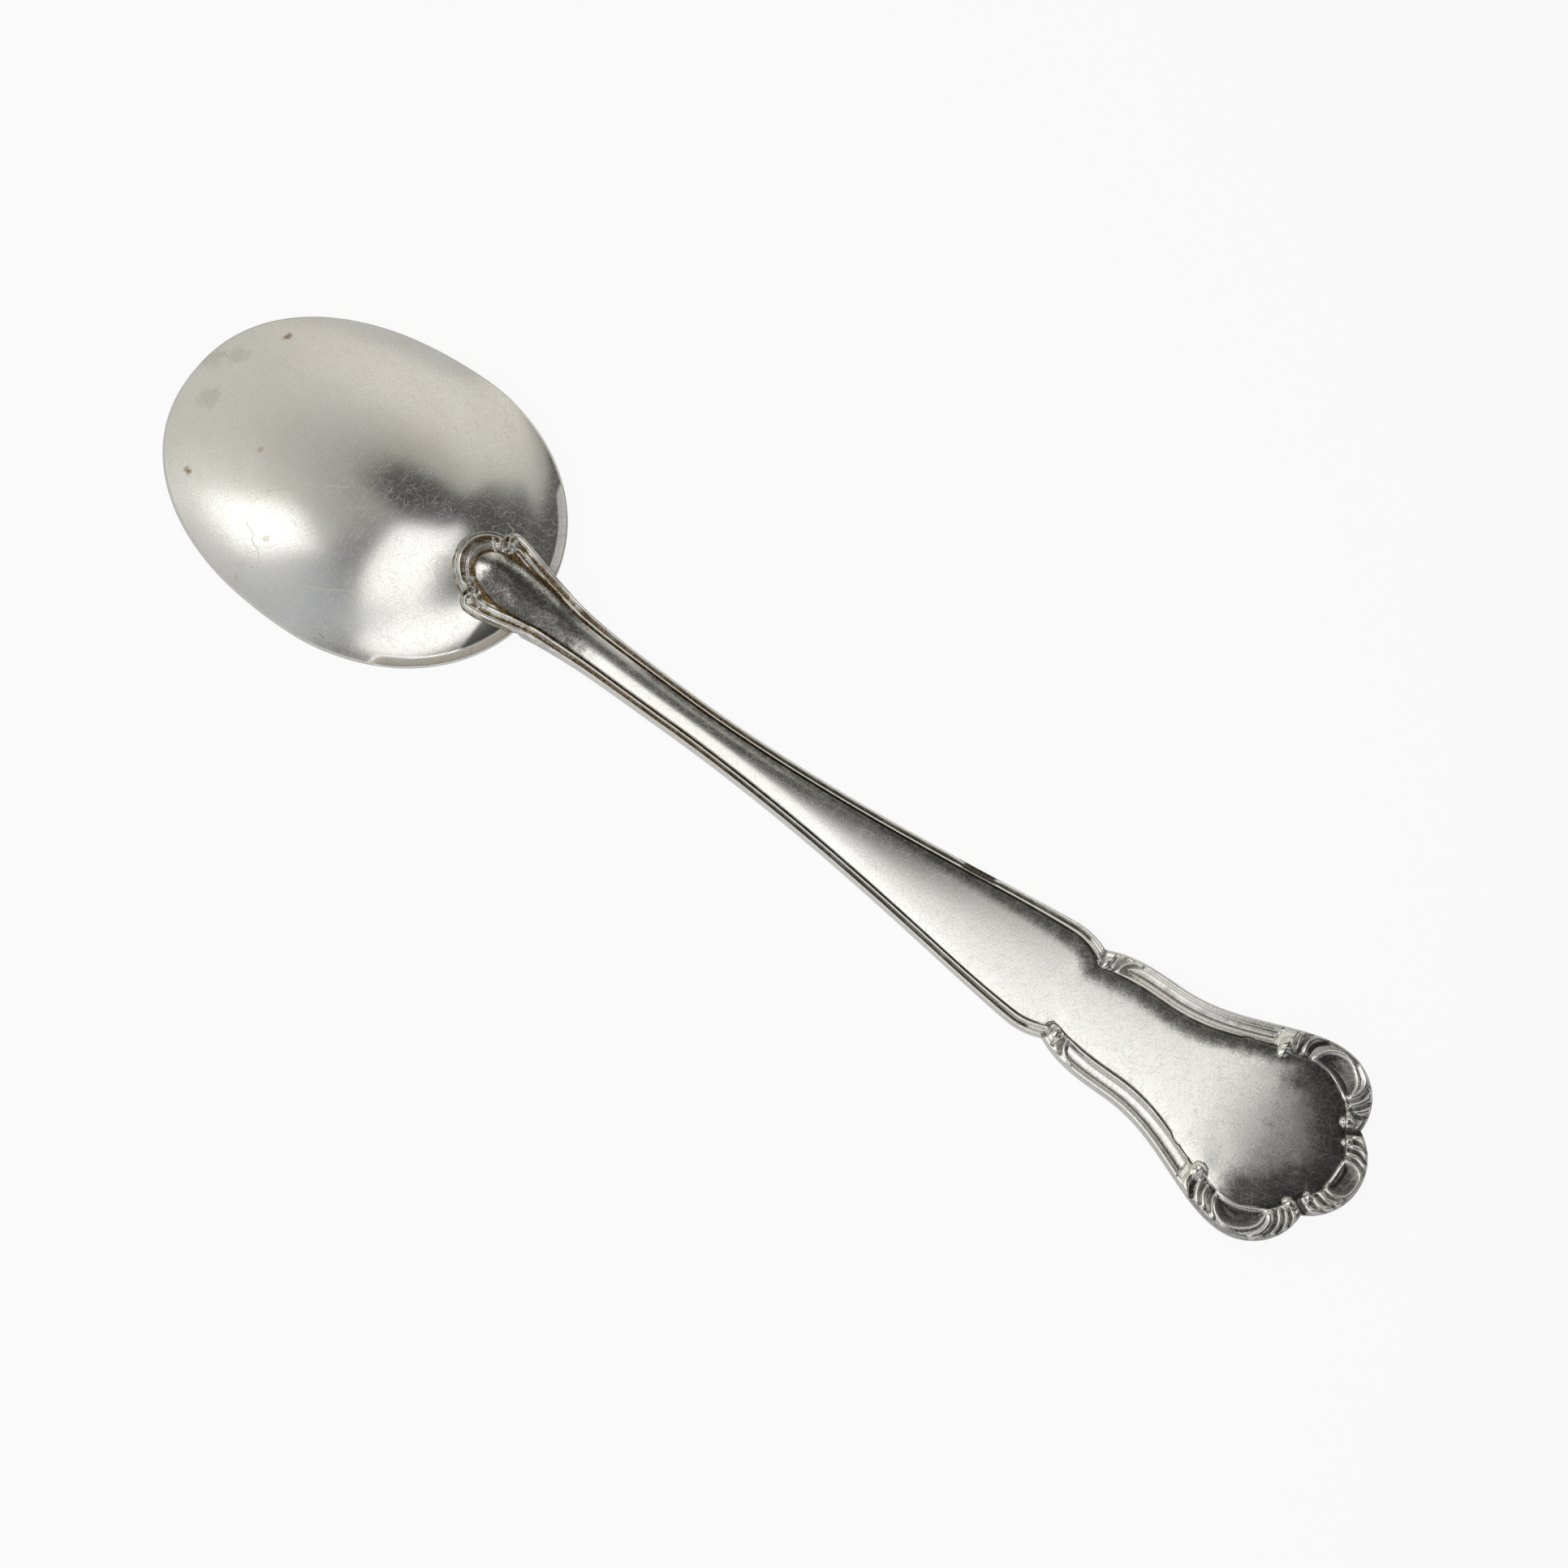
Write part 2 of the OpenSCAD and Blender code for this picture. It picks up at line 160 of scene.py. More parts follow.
def curve_at(rows, u):
    """Smooth curve through the rows: cubic pieces, with the slope at a row taken from its neighbours."""
    x, y = np.asarray(rows, float).T
    u = np.asarray(u, float)
    order = np.arange(len(x))
    before, after = np.maximum(order - 1, 0), np.minimum(order + 1, len(x) - 1)
    slope = (y[after] - y[before]) / (x[after] - x[before])
    at = np.clip(np.searchsorted(x, u, side="right") - 1, 0, len(x) - 2)
    run = x[at + 1] - x[at]
    t = np.clip((u - x[at]) / run, 0, 1)
    a, b, rise = slope[at] * run, slope[at + 1] * run, y[at + 1] - y[at]
    return y[at] + a * t + (3 * rise - 2 * a - b) * t**2 + (a + b - 2 * rise) * t**3


def line_through(points, steps=8):
    """Smooth line through points: between two of them runs a cubic that heads along its neighbours' chord."""
    p = np.asarray(points, float)
    p = np.vstack([2 * p[0] - p[1], p, 2 * p[-1] - p[-2]])
    a, b, c, d = p[:-3, None], p[1:-2, None], p[2:-1, None], p[3:, None]
    t = (np.arange(steps) / steps)[None, :, None]
    line = b + (c - a) * t / 2 + (2 * a - 5 * b + 4 * c - d) * t**2 / 2 + (3 * b - a - 3 * c + d) * t**3 / 2
    return np.vstack([line.reshape(-1, 2), p[-2]])


def distance_to(line, x, y):
    """Least distance from each point to a line of straight pieces."""
    best = np.full(np.shape(x), np.inf)
    for (ax, ay), (bx, by) in zip(line[:-1], line[1:]):
        dx, dy = bx - ax, by - ay
        t = np.clip(((x - ax) * dx + (y - ay) * dy) / (dx * dx + dy * dy + 1e-12), 0, 1)
        best = np.minimum(best, np.hypot(x - ax - t * dx, y - ay - t * dy))
    return best


def inside(loop, x, y):
    """True for points inside a closed loop: a ray from them towards +X crosses it an odd number of times."""
    odd = np.zeros(np.shape(x), bool)
    for (ax, ay), (bx, by) in zip(loop, np.roll(loop, -1, axis=0)):
        spans = (ay > y) != (by > y)
        odd ^= spans & (x < ax + (y - ay) * (bx - ax) / (by - ay + 1e-12))
    return odd


def crossing(f, g, a, b):
    """The angle between a and b where f, the larger at a, gives way to g, found by halving."""
    for _ in range(40):
        m = (a + b) / 2
        a, b = (m, b) if f(m) > g(m) else (a, m)
    return (a + b) / 2


def put_mesh(name, points, quads, triangles, material):
    """A closed mesh from points in millimetres, turned outwards by the sign of its volume."""
    faces = np.vstack([quads[:, [0, 1, 2]], quads[:, [0, 2, 3]], triangles])
    a, b, c = points[faces[:, 0]], points[faces[:, 1]], points[faces[:, 2]]
    outward = np.einsum("ij,ij->", a, np.cross(b, c)) > 0
    turn = slice(None) if outward else slice(None, None, -1)
    mesh = bpy.data.meshes.new(name)
    mesh.from_pydata((points * MM).tolist(), [], quads[:, turn].tolist() + triangles[:, turn].tolist())
    mesh.validate()
    mesh.shade_smooth()
    mesh.materials.append(material)
    piece = bpy.data.objects.new(name, mesh)
    bpy.context.scene.collection.objects.link(piece)
    return piece


def put_attribute(piece, name, values):
    """One number at each point of a piece, which its material reads by name."""
    attribute = piece.data.attributes.new(name, "FLOAT", "POINT")
    attribute.data.foreach_set("value", np.asarray(values, np.float32).ravel())


# The bowl: powers of its oval plan, the square's and the cube's shares of the dome's fall, and how the
# dome's power grows towards the neck
TIP_POWER = 2.2
SHOULDER_POWER = 2.08
DOME_SQUARE = 0.75
DOME_CUBE = 0.25
EASE_START_X = BOWL_X - 6.0
NECK_POWER = 2.4
NECK_EASE = 2.5


def rim_z(x):
    """Height of the rim's lower edge: it eases up from the tip to the neck."""
    return RIM_RISE * rise(x, TIP_X, NECK_X - TIP_X)


def dome(x, rho):
    """Share of the bowl's depth at a share rho of the way out: 1 less parts of rho's square and cube, to a
    power that grows towards the neck."""
    out = np.clip(rho, 0, 1)
    crown = np.maximum(1 - DOME_SQUARE * out**2 - DOME_CUBE * out**3, 0)
    return crown ** (1 + NECK_POWER * ramp(x, EASE_START_X, NECK_X - EASE_START_X) ** NECK_EASE)


def bowl_rho(x, y):
    """Share of the way out from the bowl's middle, for points on the neck's side of it."""
    dx, dy = np.abs(x - BOWL_X) / BOWL_NECK_L, np.abs(y) / (BOWL_W / 2)
    rho = np.hypot(dx, dy)
    for _ in range(4):
        p = mix(2, SHOULDER_POWER, np.clip(rho, 0, 1) ** 2)
        rho = (dx**p + dy**p) ** (1 / p)
    return rho


def bowl_back(x, y):
    """Height of the bowl's back on the neck's side."""
    return rim_z(x) + RIM_T + BOWL_DEPTH * dome(x, bowl_rho(x, y))


# The handle's outline
def half_width(x):
    """Half the width at x: a curve each for flank, swell, knuckle, cove and flare."""
    x = np.asarray(x, float)
    flank = mix(WAIST_W, HEEL_W, curve_at(HEEL_FLANK, (WAIST_X - x) / (WAIST_X - HEEL_X)))
    first, second = SWELL_POWERS
    swell = mix(WAIST_W, SHOULDER_W, 1 - (1 - ramp(x, WAIST_X, SWELL_L) ** first) ** second)
    knuckle = mix(SHOULDER_W, KNUCKLE_W, ramp(x, SHOULDER_X, KNUCKLE_L) ** KNUCKLE_POWER)
    cove = mix(COVE_W, KNUCKLE_W, (1 - ramp(x, KNUCKLE_X, COVE_L)) ** COVE_POWER)
    flare = mix(COVE_W, TERMINAL_W, smooth(ramp(x, COVE_X, FLARE_L) ** FLARE_POWER))
    zones = [x < WAIST_X, x < SHOULDER_X, x < KNUCKLE_X, x < COVE_X]
    return np.select(zones, [flank, swell, knuckle, cove], flare) / 2


def ray_oval(phi, cx, cy, rx, ry):
    """Length of a ray at angle phi from the origin to the far side of an oval, or 0 where it misses."""
    dx, dy = np.cos(phi) / rx, np.sin(phi) / ry
    along, size = dx * cx / rx + dy * cy / ry, dx**2 + dy**2
    root = along**2 - size * ((cx / rx) ** 2 + (cy / ry) ** 2 - 1)
    return np.where(root > 0, (along + np.sqrt(np.maximum(root, 0))) / size, 0)


def side_lobe_ray(phi):
    return ray_oval(phi, 0, HEEL_W / 2 - SIDE_LOBE_R, SIDE_LOBE_R, SIDE_LOBE_R)


def corner_ray(phi):
    return ray_oval(phi, CORNER_X - FOCUS_X, TERMINAL_W / 2 - CORNER_LOBE_W, CORNER_LOBE_L, CORNER_LOBE_W)


def end_ray(phi):
    return ray_oval(phi, END_X - END_LOBE_R - FOCUS_X, 0, END_LOBE_R, END_LOBE_R)


CORNER_PHI = np.arctan2(TERMINAL_W / 2, CORNER_X - FOCUS_X)


def ray_to_flank(phi, foot_x, first, last_x):
    """Length of rays from a foot on the middle line to the flank, up to last_x: the half-width where the last
    guess ends, over the sine of the angle."""
    ray = np.full(phi.shape, float(first))
    for _ in range(12):
        ray = half_width(np.minimum(foot_x + ray * np.cos(phi), last_x)) / np.sin(np.maximum(phi, 0.1))
    return ray


def terminal_ray(phi):
    """Length of a ray from the terminal's focus: to the flare, or to the farther of corner and end lobe."""
    flare = ray_to_flank(phi, FOCUS_X, half_width(FOCUS_X), CORNER_X)
    return np.where(phi > CORNER_PHI, flare, np.maximum(corner_ray(phi), end_ray(phi)))


def heel_ray(phi):
    return np.maximum(HEEL_LOBE_R, side_lobe_ray(phi))


HEEL_NOTCH = crossing(side_lobe_ray, lambda phi: HEEL_LOBE_R, np.pi / 2, np.pi)
END_NOTCH = crossing(end_ray, corner_ray, 0.0, CORNER_PHI)


def spread(a, b, n, ease=0.0):
    """n steps from a to b, without a itself; ease draws them closer at a."""
    t = np.arange(1, n + 1) / n
    return mix(a, b, mix(t, t * t, ease))


# Steps round one side: the heel's two lobes, the stem's legs by the X where each ends, and the end's two
# lobes. Those of the heel's side lobe draw closer at the notch
HEEL_STEPS = (58, 26)
NOTCH_CROWDING = 0.8
STEM_STEPS = [(STEP_X, 52), (WAIST_X, 44), (SHOULDER_X - 6, 52), (SHOULDER_X, 24), (KNUCKLE_X, 40),
              (COVE_X, 92), (FOCUS_X, 78)]
END_STEPS = (215, 70)


def half_outline():
    """Stations from the heel's apex to the handle's end: foot on the middle line, angle and ray's length."""
    side_lobe = spread(HEEL_NOTCH, np.pi / 2, HEEL_STEPS[1], NOTCH_CROWDING)
    heel = np.concatenate([[np.pi], spread(np.pi, HEEL_NOTCH, HEEL_STEPS[0]), side_lobe])
    starts = [HEEL_X] + [x for x, _ in STEM_STEPS]
    stem = np.concatenate([spread(start, x, n) for start, (x, n) in zip(starts, STEM_STEPS)])
    end = np.concatenate([spread(np.pi / 2, END_NOTCH, END_STEPS[0]), spread(END_NOTCH, 0, END_STEPS[1])])
    foot = np.concatenate([np.full(len(heel), HEEL_X), stem, np.full(len(end), FOCUS_X)])
    phi = np.concatenate([heel, np.full(len(stem), np.pi / 2), end])
    ray = np.concatenate([heel_ray(heel), half_width(stem), terminal_ray(end)])
    return foot, phi, ray


# The handle's levels
def face_z(x):
    """Height of the stem's face: it bends up from its lowest place towards the neck and towards the end."""
    neck = NECK_RISE * np.clip((CREST_X - x) / (CREST_X - NECK_X), 0, None) ** NECK_BEND
    end = END_RISE * np.clip((x - CREST_X) / (END_X - CREST_X), 0, None) ** END_BEND
    return np.where(x < CREST_X, neck, end) - WEAR_T


def panel_thick(x):
    """Thickness of the handle's middle: it thins along the stem, and the panel's pillow adds to it again."""
    thinned = mix(NECK_T, PANEL_T, rise(x, WAIST_X, SWELL_L))
    return thinned + PILLOW_T * rise(x, KNUCKLE_X, FOCUS_X - KNUCKLE_X)


def middle_z(x):
    """Height of the ground that both faces of the stem rise from, half-way through the panel."""
    return face_z(x) + panel_thick(np.minimum(x, FOCUS_X)) / 2


def stem_share(x):
    """0 on the heel, 1 on the stem: the heel's surface turns into the stem's just past the neck."""
    return rise(x, NECK_X, HEEL_EASE_L)


def bead_height(x):
    """Height of the border's crest above its ground."""
    stem = mix(NECK_BORDER_T, BORDER_T, rise(x, WAIST_X, SWELL_L)) / 2
    return mix(HEEL_BEAD_T, stem, stem_share(x))


def panel_height(x):
    """Height of the panel's middle above its ground."""
    return mix(HEEL_TONGUE_T, panel_thick(np.minimum(x, FOCUS_X)) / 2, stem_share(x))


# Sections of the border from the edge inwards: share of its width, share of its crest
REED = [[0, 0.4], [0.05, 0.8], [0.1, 0.96], [0.17, 1], [0.24, 0.98], [0.31, 0.86], [0.38, 0.68], [0.48, 0.6],
        [0.6, 0.68], [0.69, 0.88], [0.77, 0.98], [0.85, 1], [0.93, 0.9], [1, 0.5]]
RING = [[0, 0.25], [0.06, 0.66], [0.13, 0.74], [0.24, 0.52], [0.36, 0.86], [0.52, 1], [0.68, 0.84],
        [0.84, 0.3], [1, 0.2]]
COVE = [[0, 0.35], [0.05, 0.82], [0.13, 1], [0.2, 0.93], [0.27, 0.52], [0.42, 0.3], [0.62, 0.32], [0.79, 0.6],
        [0.88, 0.99], [0.93, 0.97], [1, 0.55]]
LAND = [[0, 0.3], [0.05, 0.72], [0.12, 0.92], [0.25, 0.9], [0.9, 0.84], [1, 0.6]]

# Widths of the ring on the heel's lobe and of the border round the terminal
RING_W = 0.98
BORDER_W = 2.3
# Width of the reeds where a station's ray ends, and of the border past the knuckle: X of that place, width
REED_W = [[-36, 1.5], [-29, 1.45], [-24, 1.15], [-15, 0.86], [26, 0.9], [34, 1.12], [37.2, 1.25]]
PANEL_COVE_X = 37
COVE_W_ROWS = [[PANEL_COVE_X, 1.3], [37.6, 2.0], [39, 2.2], [41, 2.3], [60, 2.3]]
# The panel's foot, as rays from the terminal's focus: angle in degrees, length
PANEL_FOOT = [[0, 13.55], [5, 13.5], [12, 13.05], [20, 12.4], [33, 11.95], [44.6, 11.0], [49.8, 10.45],
              [55.7, 9.66], [59.5, 9.0], [64.4, 8.22], [73.7, 7.36], [81.1, 6.83], [90, 6.33]]
# The tongue's foot, as rays from the heel's middle, and half the tongue's width beyond that middle, by X
TONGUE_FOOT = [[90, 2.1], [110, 1.95], [140, 1.88], [180, 1.85]]
TONGUE_SIDE = [[-32.25, 2.1], [-30.5, 2.4], [-28.5, 2.35], [-27, 2.3]]
# Height of the panel's foot as a share of the bead's: on the stem, on the heel and round the end
STEM_FLOOR = 0.6
HEEL_FLOOR = 0.26
END_FLOOR = 0.3
# The panel rises in a step, a shoulder and a crown: their widths, the crown's by X on the stem and fixed on
# the heel's tongue, and their shares on the stem and on the tongue
STEP_W = 0.25
SHOULDER_CROWN_W = 1.4
PILLOW_W = [[-32.25, 2.0], [-28, 2.2], [-20, 5.5], [60, 5.5]]
TONGUE_W = 2.0
STEM_SHARES = (0.5, 0.2, 0.3)
TONGUE_SHARES = (0.1, 0.0, 0.9)
# How far the panel sinks towards the end, and where that starts
PANEL_SINK = 0.62
SINK_X = 53.0
# Width over which the border turns into the panel, and over which chased lines fade out at the outline
FOOT_BLUR = 0.12
EDGE_FADE_W = 0.25

# Places along X: where a form starts or ends, and the run over which it comes or goes
HEEL_END = (-22, 7)
RING_END = (-32.4, 0.5)
TONGUE_END = (-24.5, 4.0)
REEDS_END = (37.35, 0.3)
LAND_START = (37.2, 0.3)
COVE_RISE_W = 0.3
COVE_END = (55.5, 0.25)
# The flat filed on the stem's +Y edge: its ends, its width, and its height as a share of the bead's, at the
# edge and added per millimetre
FILED_START = (20.9, 0.3)
FILED_END = (24.8, 0.3)
FILED_W = (0.75, 0.1)
FILED_EDGE = 0.5
FILED_SLOPE = 0.35

# Wear and painted shade along X in the same way: dirt, then tarnish on the tongue, painted shade along the
# panel's +Y edge and on its end, which comes earlier on the +Y side, tarnish on the ornament, then file marks
REED_DIRT_END = (36.5, 1.5)
FLOOR_DIRT_END = (-27, 4)
TONGUE_TARNISH_START = (-33.7, 1.8)
TONGUE_TARNISH_END = (-17, 7)
SHADE_START = (-19, 6)
# Painted shade on the panel's end: where it starts, and how much earlier it comes on the +Y side
PAINTED_END_SHADE_START = (56, 4.5)
PAINTED_END_SHADE_SKEW = 0.6
ORNATE_START = (56.5, 1.0)
REED_MARKS = ((28.5, 1.5), (37.5, 0.5))
PANEL_MARKS = ((28, 3), (54, 2))
# Width of the painted shade, a grey band along the panel's +Y edge, by X
SHADE_W = [[-20, 0.9], [0, 0.9], [14, 1.2], [28, 2.0], [36, 2.3], [44, 2.4], [54, 2.4], [60, 2.0], [67, 1.0]]


def section(rows, share):
    """Height of a border's section at a share of its width."""
    return curve_at(rows, np.clip(share, 0, 1))


# Chased ornament: half-width, height, and the places that each line goes through. Near the end each side
# has lines of its own, listed by the sign of Y
DISH_INNER = [(59.4, 8.05), (60.7, 8.0), (61.8, 7.75), (62.7, 7.35), (63.5, 6.9), (64.1, 6.6)]
DISH_OUTER = [(59.4, 8.05), (59.85, 9.1), (60.55, 9.72), (61.4, 10.0), (62.3, 9.95), (63.2, 9.5),
              (64.0, 8.75), (64.35, 8.0), (64.35, 7.2), (64.1, 6.6)]
END_DISH_INNER = [(67.35, 1.6), (67.42, 0.8), (67.45, 0), (67.42, -0.8), (67.35, -1.6)]
END_DISH_OUTER = [(67.35, 1.6), (68.2, 1.75), (69.0, 1.55), (69.55, 0.95), (69.7, 0), (69.55, -0.95),
                  (69.0, -1.55), (68.2, -1.75), (67.35, -1.6)]
# Hollow scrolls: the two lines that each lies between, its depth, and the width over which it rounds off
DISHES = [(DISH_INNER, DISH_OUTER, 0.4, 1.0), (END_DISH_INNER, END_DISH_OUTER, 0.32, 0.8)]
# The short ring on the heel's lobe: its radius, and the angles that it goes through
HEEL_ARC_R = 2.35
HEEL_ARC = np.radians([180, 168, 156, 144, 132])
RIDGES = [
    (0.2, 0.16, [(38.62, 4.5), (38.75, 5.15), (39.2, 5.65)]),
    (0.24, 0.2, [(39.45, 4.3), (39.6, 5.0), (40.1, 5.5), (41.0, 5.95)]),
    (0.22, 0.16, DISH_INNER),
    (0.2, 0.16, DISH_OUTER),
    (0.2, 0.14, END_DISH_INNER),
    (0.2, 0.14, END_DISH_OUTER),
    (0.28, 0.18, [(66.95, 4.1), (67.7, 4.1), (68.5, 3.8)]),
    (0.28, 0.2, [(67.2, 3.15), (68.1, 3.3), (69.0, 2.95)]),
    (0.26, 0.18, [(67.25, 2.32), (68.2, 2.5), (69.3, 2.15)]),
    (0.2, 0.3, [(HEEL_X + HEEL_ARC_R * np.cos(a), HEEL_ARC_R * np.sin(a)) for a in HEEL_ARC]),
    (0.2, 0.26, [(-33.9, 2.35), (-33.6, 2.0), (-33.25, 1.75)]),
    (0.2, 0.26, [(-31.95, 2.75), (-31.8, 3.08), (-31.4, 3.2), (-30.8, 3.05)]),
]
GROOVES = [
    (0.24, 0.34, [(37.25, 5.35), (37.35, 4.7), (37.65, 3.8)]),
    (0.16, 0.26, [(38.5, 5.4), (38.52, 4.85), (38.62, 4.1)]),
    (0.2, 0.34, [(38.95, 4.1), (39.1, 5.0), (39.55, 5.65)]),
    (0.34, 0.42, [(67.2, 4.75), (66.6, 4.45), (66.0, 4.1), (65.75, 3.8)]),
    (0.18, 0.34, [(67.05, 3.62), (67.8, 3.75), (68.75, 3.45)]),
    (0.18, 0.34, [(67.1, 2.72), (68.05, 2.92), (69.15, 2.58)]),
    (0.16, 0.28, [(67.25, 1.98), (68.2, 2.12), (69.35, 1.78)]),
    (0.22, 0.42, [(-33.35, 3.75), (-33.0, 3.3), (-32.85, 2.85)]),
    (0.22, 0.3, [(-32.2, 2.6), (-32.25, 3.0), (-31.9, 3.4), (-31.3, 3.55)]),
]
SIDE_RIDGES = {
    1: [(0.28, 0.22, [(57.15, 9.3), (57.3, 8.7), (57.45, 8.1)]),
        (0.4, 0.24, [(58.5, 9.95), (58.12, 9.2), (58.15, 8.6), (58.35, 8.1)]),
        (0.34, 0.2, [(64.25, 6.95), (64.75, 7.6), (64.9, 8.4), (64.5, 9.35), (63.5, 10.05)]),
        (0.34, 0.24, [(64.85, 6.3), (65.35, 6.9), (65.7, 7.6), (65.75, 8.3)]),
        (0.3, 0.22, [(65.6, 6.1), (66.0, 6.4), (66.4, 6.95)])],
    -1: [(0.38, 0.24, [(56.35, 7.9), (56.35, 8.7), (56.9, 9.4)]),
         (0.26, 0.2, [(57.55, 7.6), (57.6, 8.4), (57.9, 9.2), (58.4, 9.8)]),
         (0.32, 0.22, [(58.3, 8.0), (58.45, 8.9), (59.1, 9.7)]),
         (0.26, 0.2, [(59.3, 8.4), (59.7, 9.4), (60.4, 10.05)]),
         (0.34, 0.2, [(64.3, 6.6), (64.85, 7.2), (65.0, 7.9), (64.85, 8.7), (64.35, 9.5)]),
         (0.22, 0.2, [(65.05, 5.95), (65.6, 6.6), (65.85, 7.3), (65.8, 8.0)]),
         (0.22, 0.18, [(65.65, 5.65), (66.2, 6.3), (66.45, 7.1)]),
         (0.2, 0.18, [(66.05, 5.25), (66.6, 5.65), (66.85, 6.2)])],
}
SIDE_GROOVES = {
    1: [(0.2, 0.32, [(56.95, 9.4), (57.02, 8.7), (57.3, 8.0)]),
        (0.24, 0.42, [(58.5, 10.25), (57.85, 9.4), (57.7, 8.5), (57.8, 7.8)]),
        (0.24, 0.42, [(59.7, 10.2), (58.98, 9.5), (58.66, 8.8), (58.7, 8.0)]),
        (0.2, 0.34, [(65.25, 8.7), (65.3, 8.0), (65.15, 7.35), (64.55, 6.6)]),
        (0.2, 0.34, [(66.2, 7.6), (65.9, 6.95), (65.5, 6.4), (65.05, 6.05)]),
        (0.2, 0.34, [(66.75, 6.4), (66.35, 5.95), (65.85, 5.75), (65.45, 5.85)])],
    -1: [(0.26, 0.42, [(57.0, 7.5), (57.0, 8.3), (57.2, 9.1), (57.6, 9.7)]),
         (0.2, 0.36, [(57.9, 7.9), (58.05, 8.8), (58.6, 9.7)]),
         (0.2, 0.36, [(58.95, 8.0), (59.2, 8.9), (59.8, 9.8)]),
         (0.18, 0.34, [(64.75, 6.2), (65.3, 6.9), (65.5, 7.7), (65.3, 8.6)]),
         (0.18, 0.34, [(65.35, 5.75), (65.9, 6.4), (66.15, 7.2), (66.1, 7.8)]),
         (0.18, 0.34, [(65.75, 5.35), (66.4, 5.95), (66.7, 6.7)])],
}
# Knobs: middle, half-lengths along and across, turn in degrees, height
KNOBS = [
    (38.1, 4.2, 0.42, 0.68, -12, 0.3),
    (65.5, 4.85, 0.78, 0.62, 15, 0.5),
    (66.62, 3.3, 0.62, 0.46, 40, 0.42),
    (-33.2, 2.6, 0.5, 0.36, 110, 0.46),
    (-32.62, 3.1, 0.26, 0.28, 0, 0.4),
    (-32.25, 3.68, 0.34, 0.34, 0, 0.3),
]
SIDE_KNOBS = {1: [(56.65, 7.45, 0.72, 1.1, 8, 0.52)], -1: [(56.75, 7.35, 0.95, 0.85, 0, 0.52)]}
KNOB_POWER = 0.85
# Slanting start of the cove: Y, X
COVE_START = [(4.0, 39.5), (4.6, 39.55), (5.2, 39.8), (5.7, 40.35), (6.1, 41.2), (7.0, 41.4)]


def strokes(lines, x, y):
    """Height of the highest line at each point: a parabola across the line, level along it."""
    field = np.zeros(x.shape)
    for width, height, points in lines:
        line = line_through(points)
        near = (x > line[:, 0].min() - width) & (x < line[:, 0].max() + width)
        near &= (y > line[:, 1].min() - width) & (y < line[:, 1].max() + width)
        share = distance_to(line, x[near], y[near]) / width
        field[near] = np.maximum(field[near], height * np.clip(1 - share**2, 0, 1))
    return field


def knobs(caps, x, y):
    """Height of the highest knob: a round cap over an oval."""
    field = np.zeros(x.shape)
    for cx, cy, rx, ry, turn, height in caps:
        c, s = np.cos(np.radians(turn)), np.sin(np.radians(turn))
        u, v = ((x - cx) * c + (y - cy) * s) / rx, ((y - cy) * c - (x - cx) * s) / ry
        field = np.maximum(field, height * np.clip(1 - u * u - v * v, 0, 1) ** KNOB_POWER)
    return field


def dish(inner, outer, depth, round_w, x, y):
    """Depth of a hollow between two lines that share their ends: it falls off within round_w of its edge."""
    loop = np.vstack([line_through(inner), line_through(outer)[::-1]])
    field = np.zeros(x.shape)
    near = (x > loop[:, 0].min()) & (x < loop[:, 0].max()) & (y < loop[:, 1].max())
    px, py = x[near], y[near]
    reach = np.where(inside(loop, px, py), distance_to(loop, px, py), 0)
    field[near] = depth * smooth(reach / round_w) ** 0.7
    return field


def panel_rays(foot, phi, ray):
    """Length of each station's ray as far as the panel's foot."""
    degrees = np.degrees(phi)
    reed_w = curve_at(REED_W, foot + ray * np.cos(phi))
    flank = mix(half_width(foot) - reed_w, curve_at(TONGUE_SIDE, foot), fall(foot, *TONGUE_END))
    cove = half_width(foot) - curve_at(COVE_W_ROWS, foot)
    stem = mix(np.where(foot < PANEL_COVE_X, flank, cove), PANEL_FOOT[-1][1], rise(foot, FOCUS_X - 1.5, 1.5))
    at_ends = np.where(foot <= HEEL_X, curve_at(TONGUE_FOOT, degrees), curve_at(PANEL_FOOT, degrees))
    return np.where((foot <= HEEL_X) | (foot >= FOCUS_X), at_ends, stem)


def border_share(x, y, edge, reed_w):
    """Share of the bead's height in the border, by the distance from the outline: a ring on the heel's lobe,
    reeds along the stem, plain land at the knuckle and round the end, and the cove between them."""
    reed = mix(section(REED, edge / reed_w), section(RING, edge / RING_W), fall(x, *RING_END))
    in_cove = rise(x, curve_at(COVE_START, y), COVE_RISE_W) * fall(x, *COVE_END)
    border = mix(section(LAND, edge / BORDER_W), section(COVE, edge / BORDER_W), in_cove)
    return mix(reed, border, rise(x, *LAND_START)), in_cove


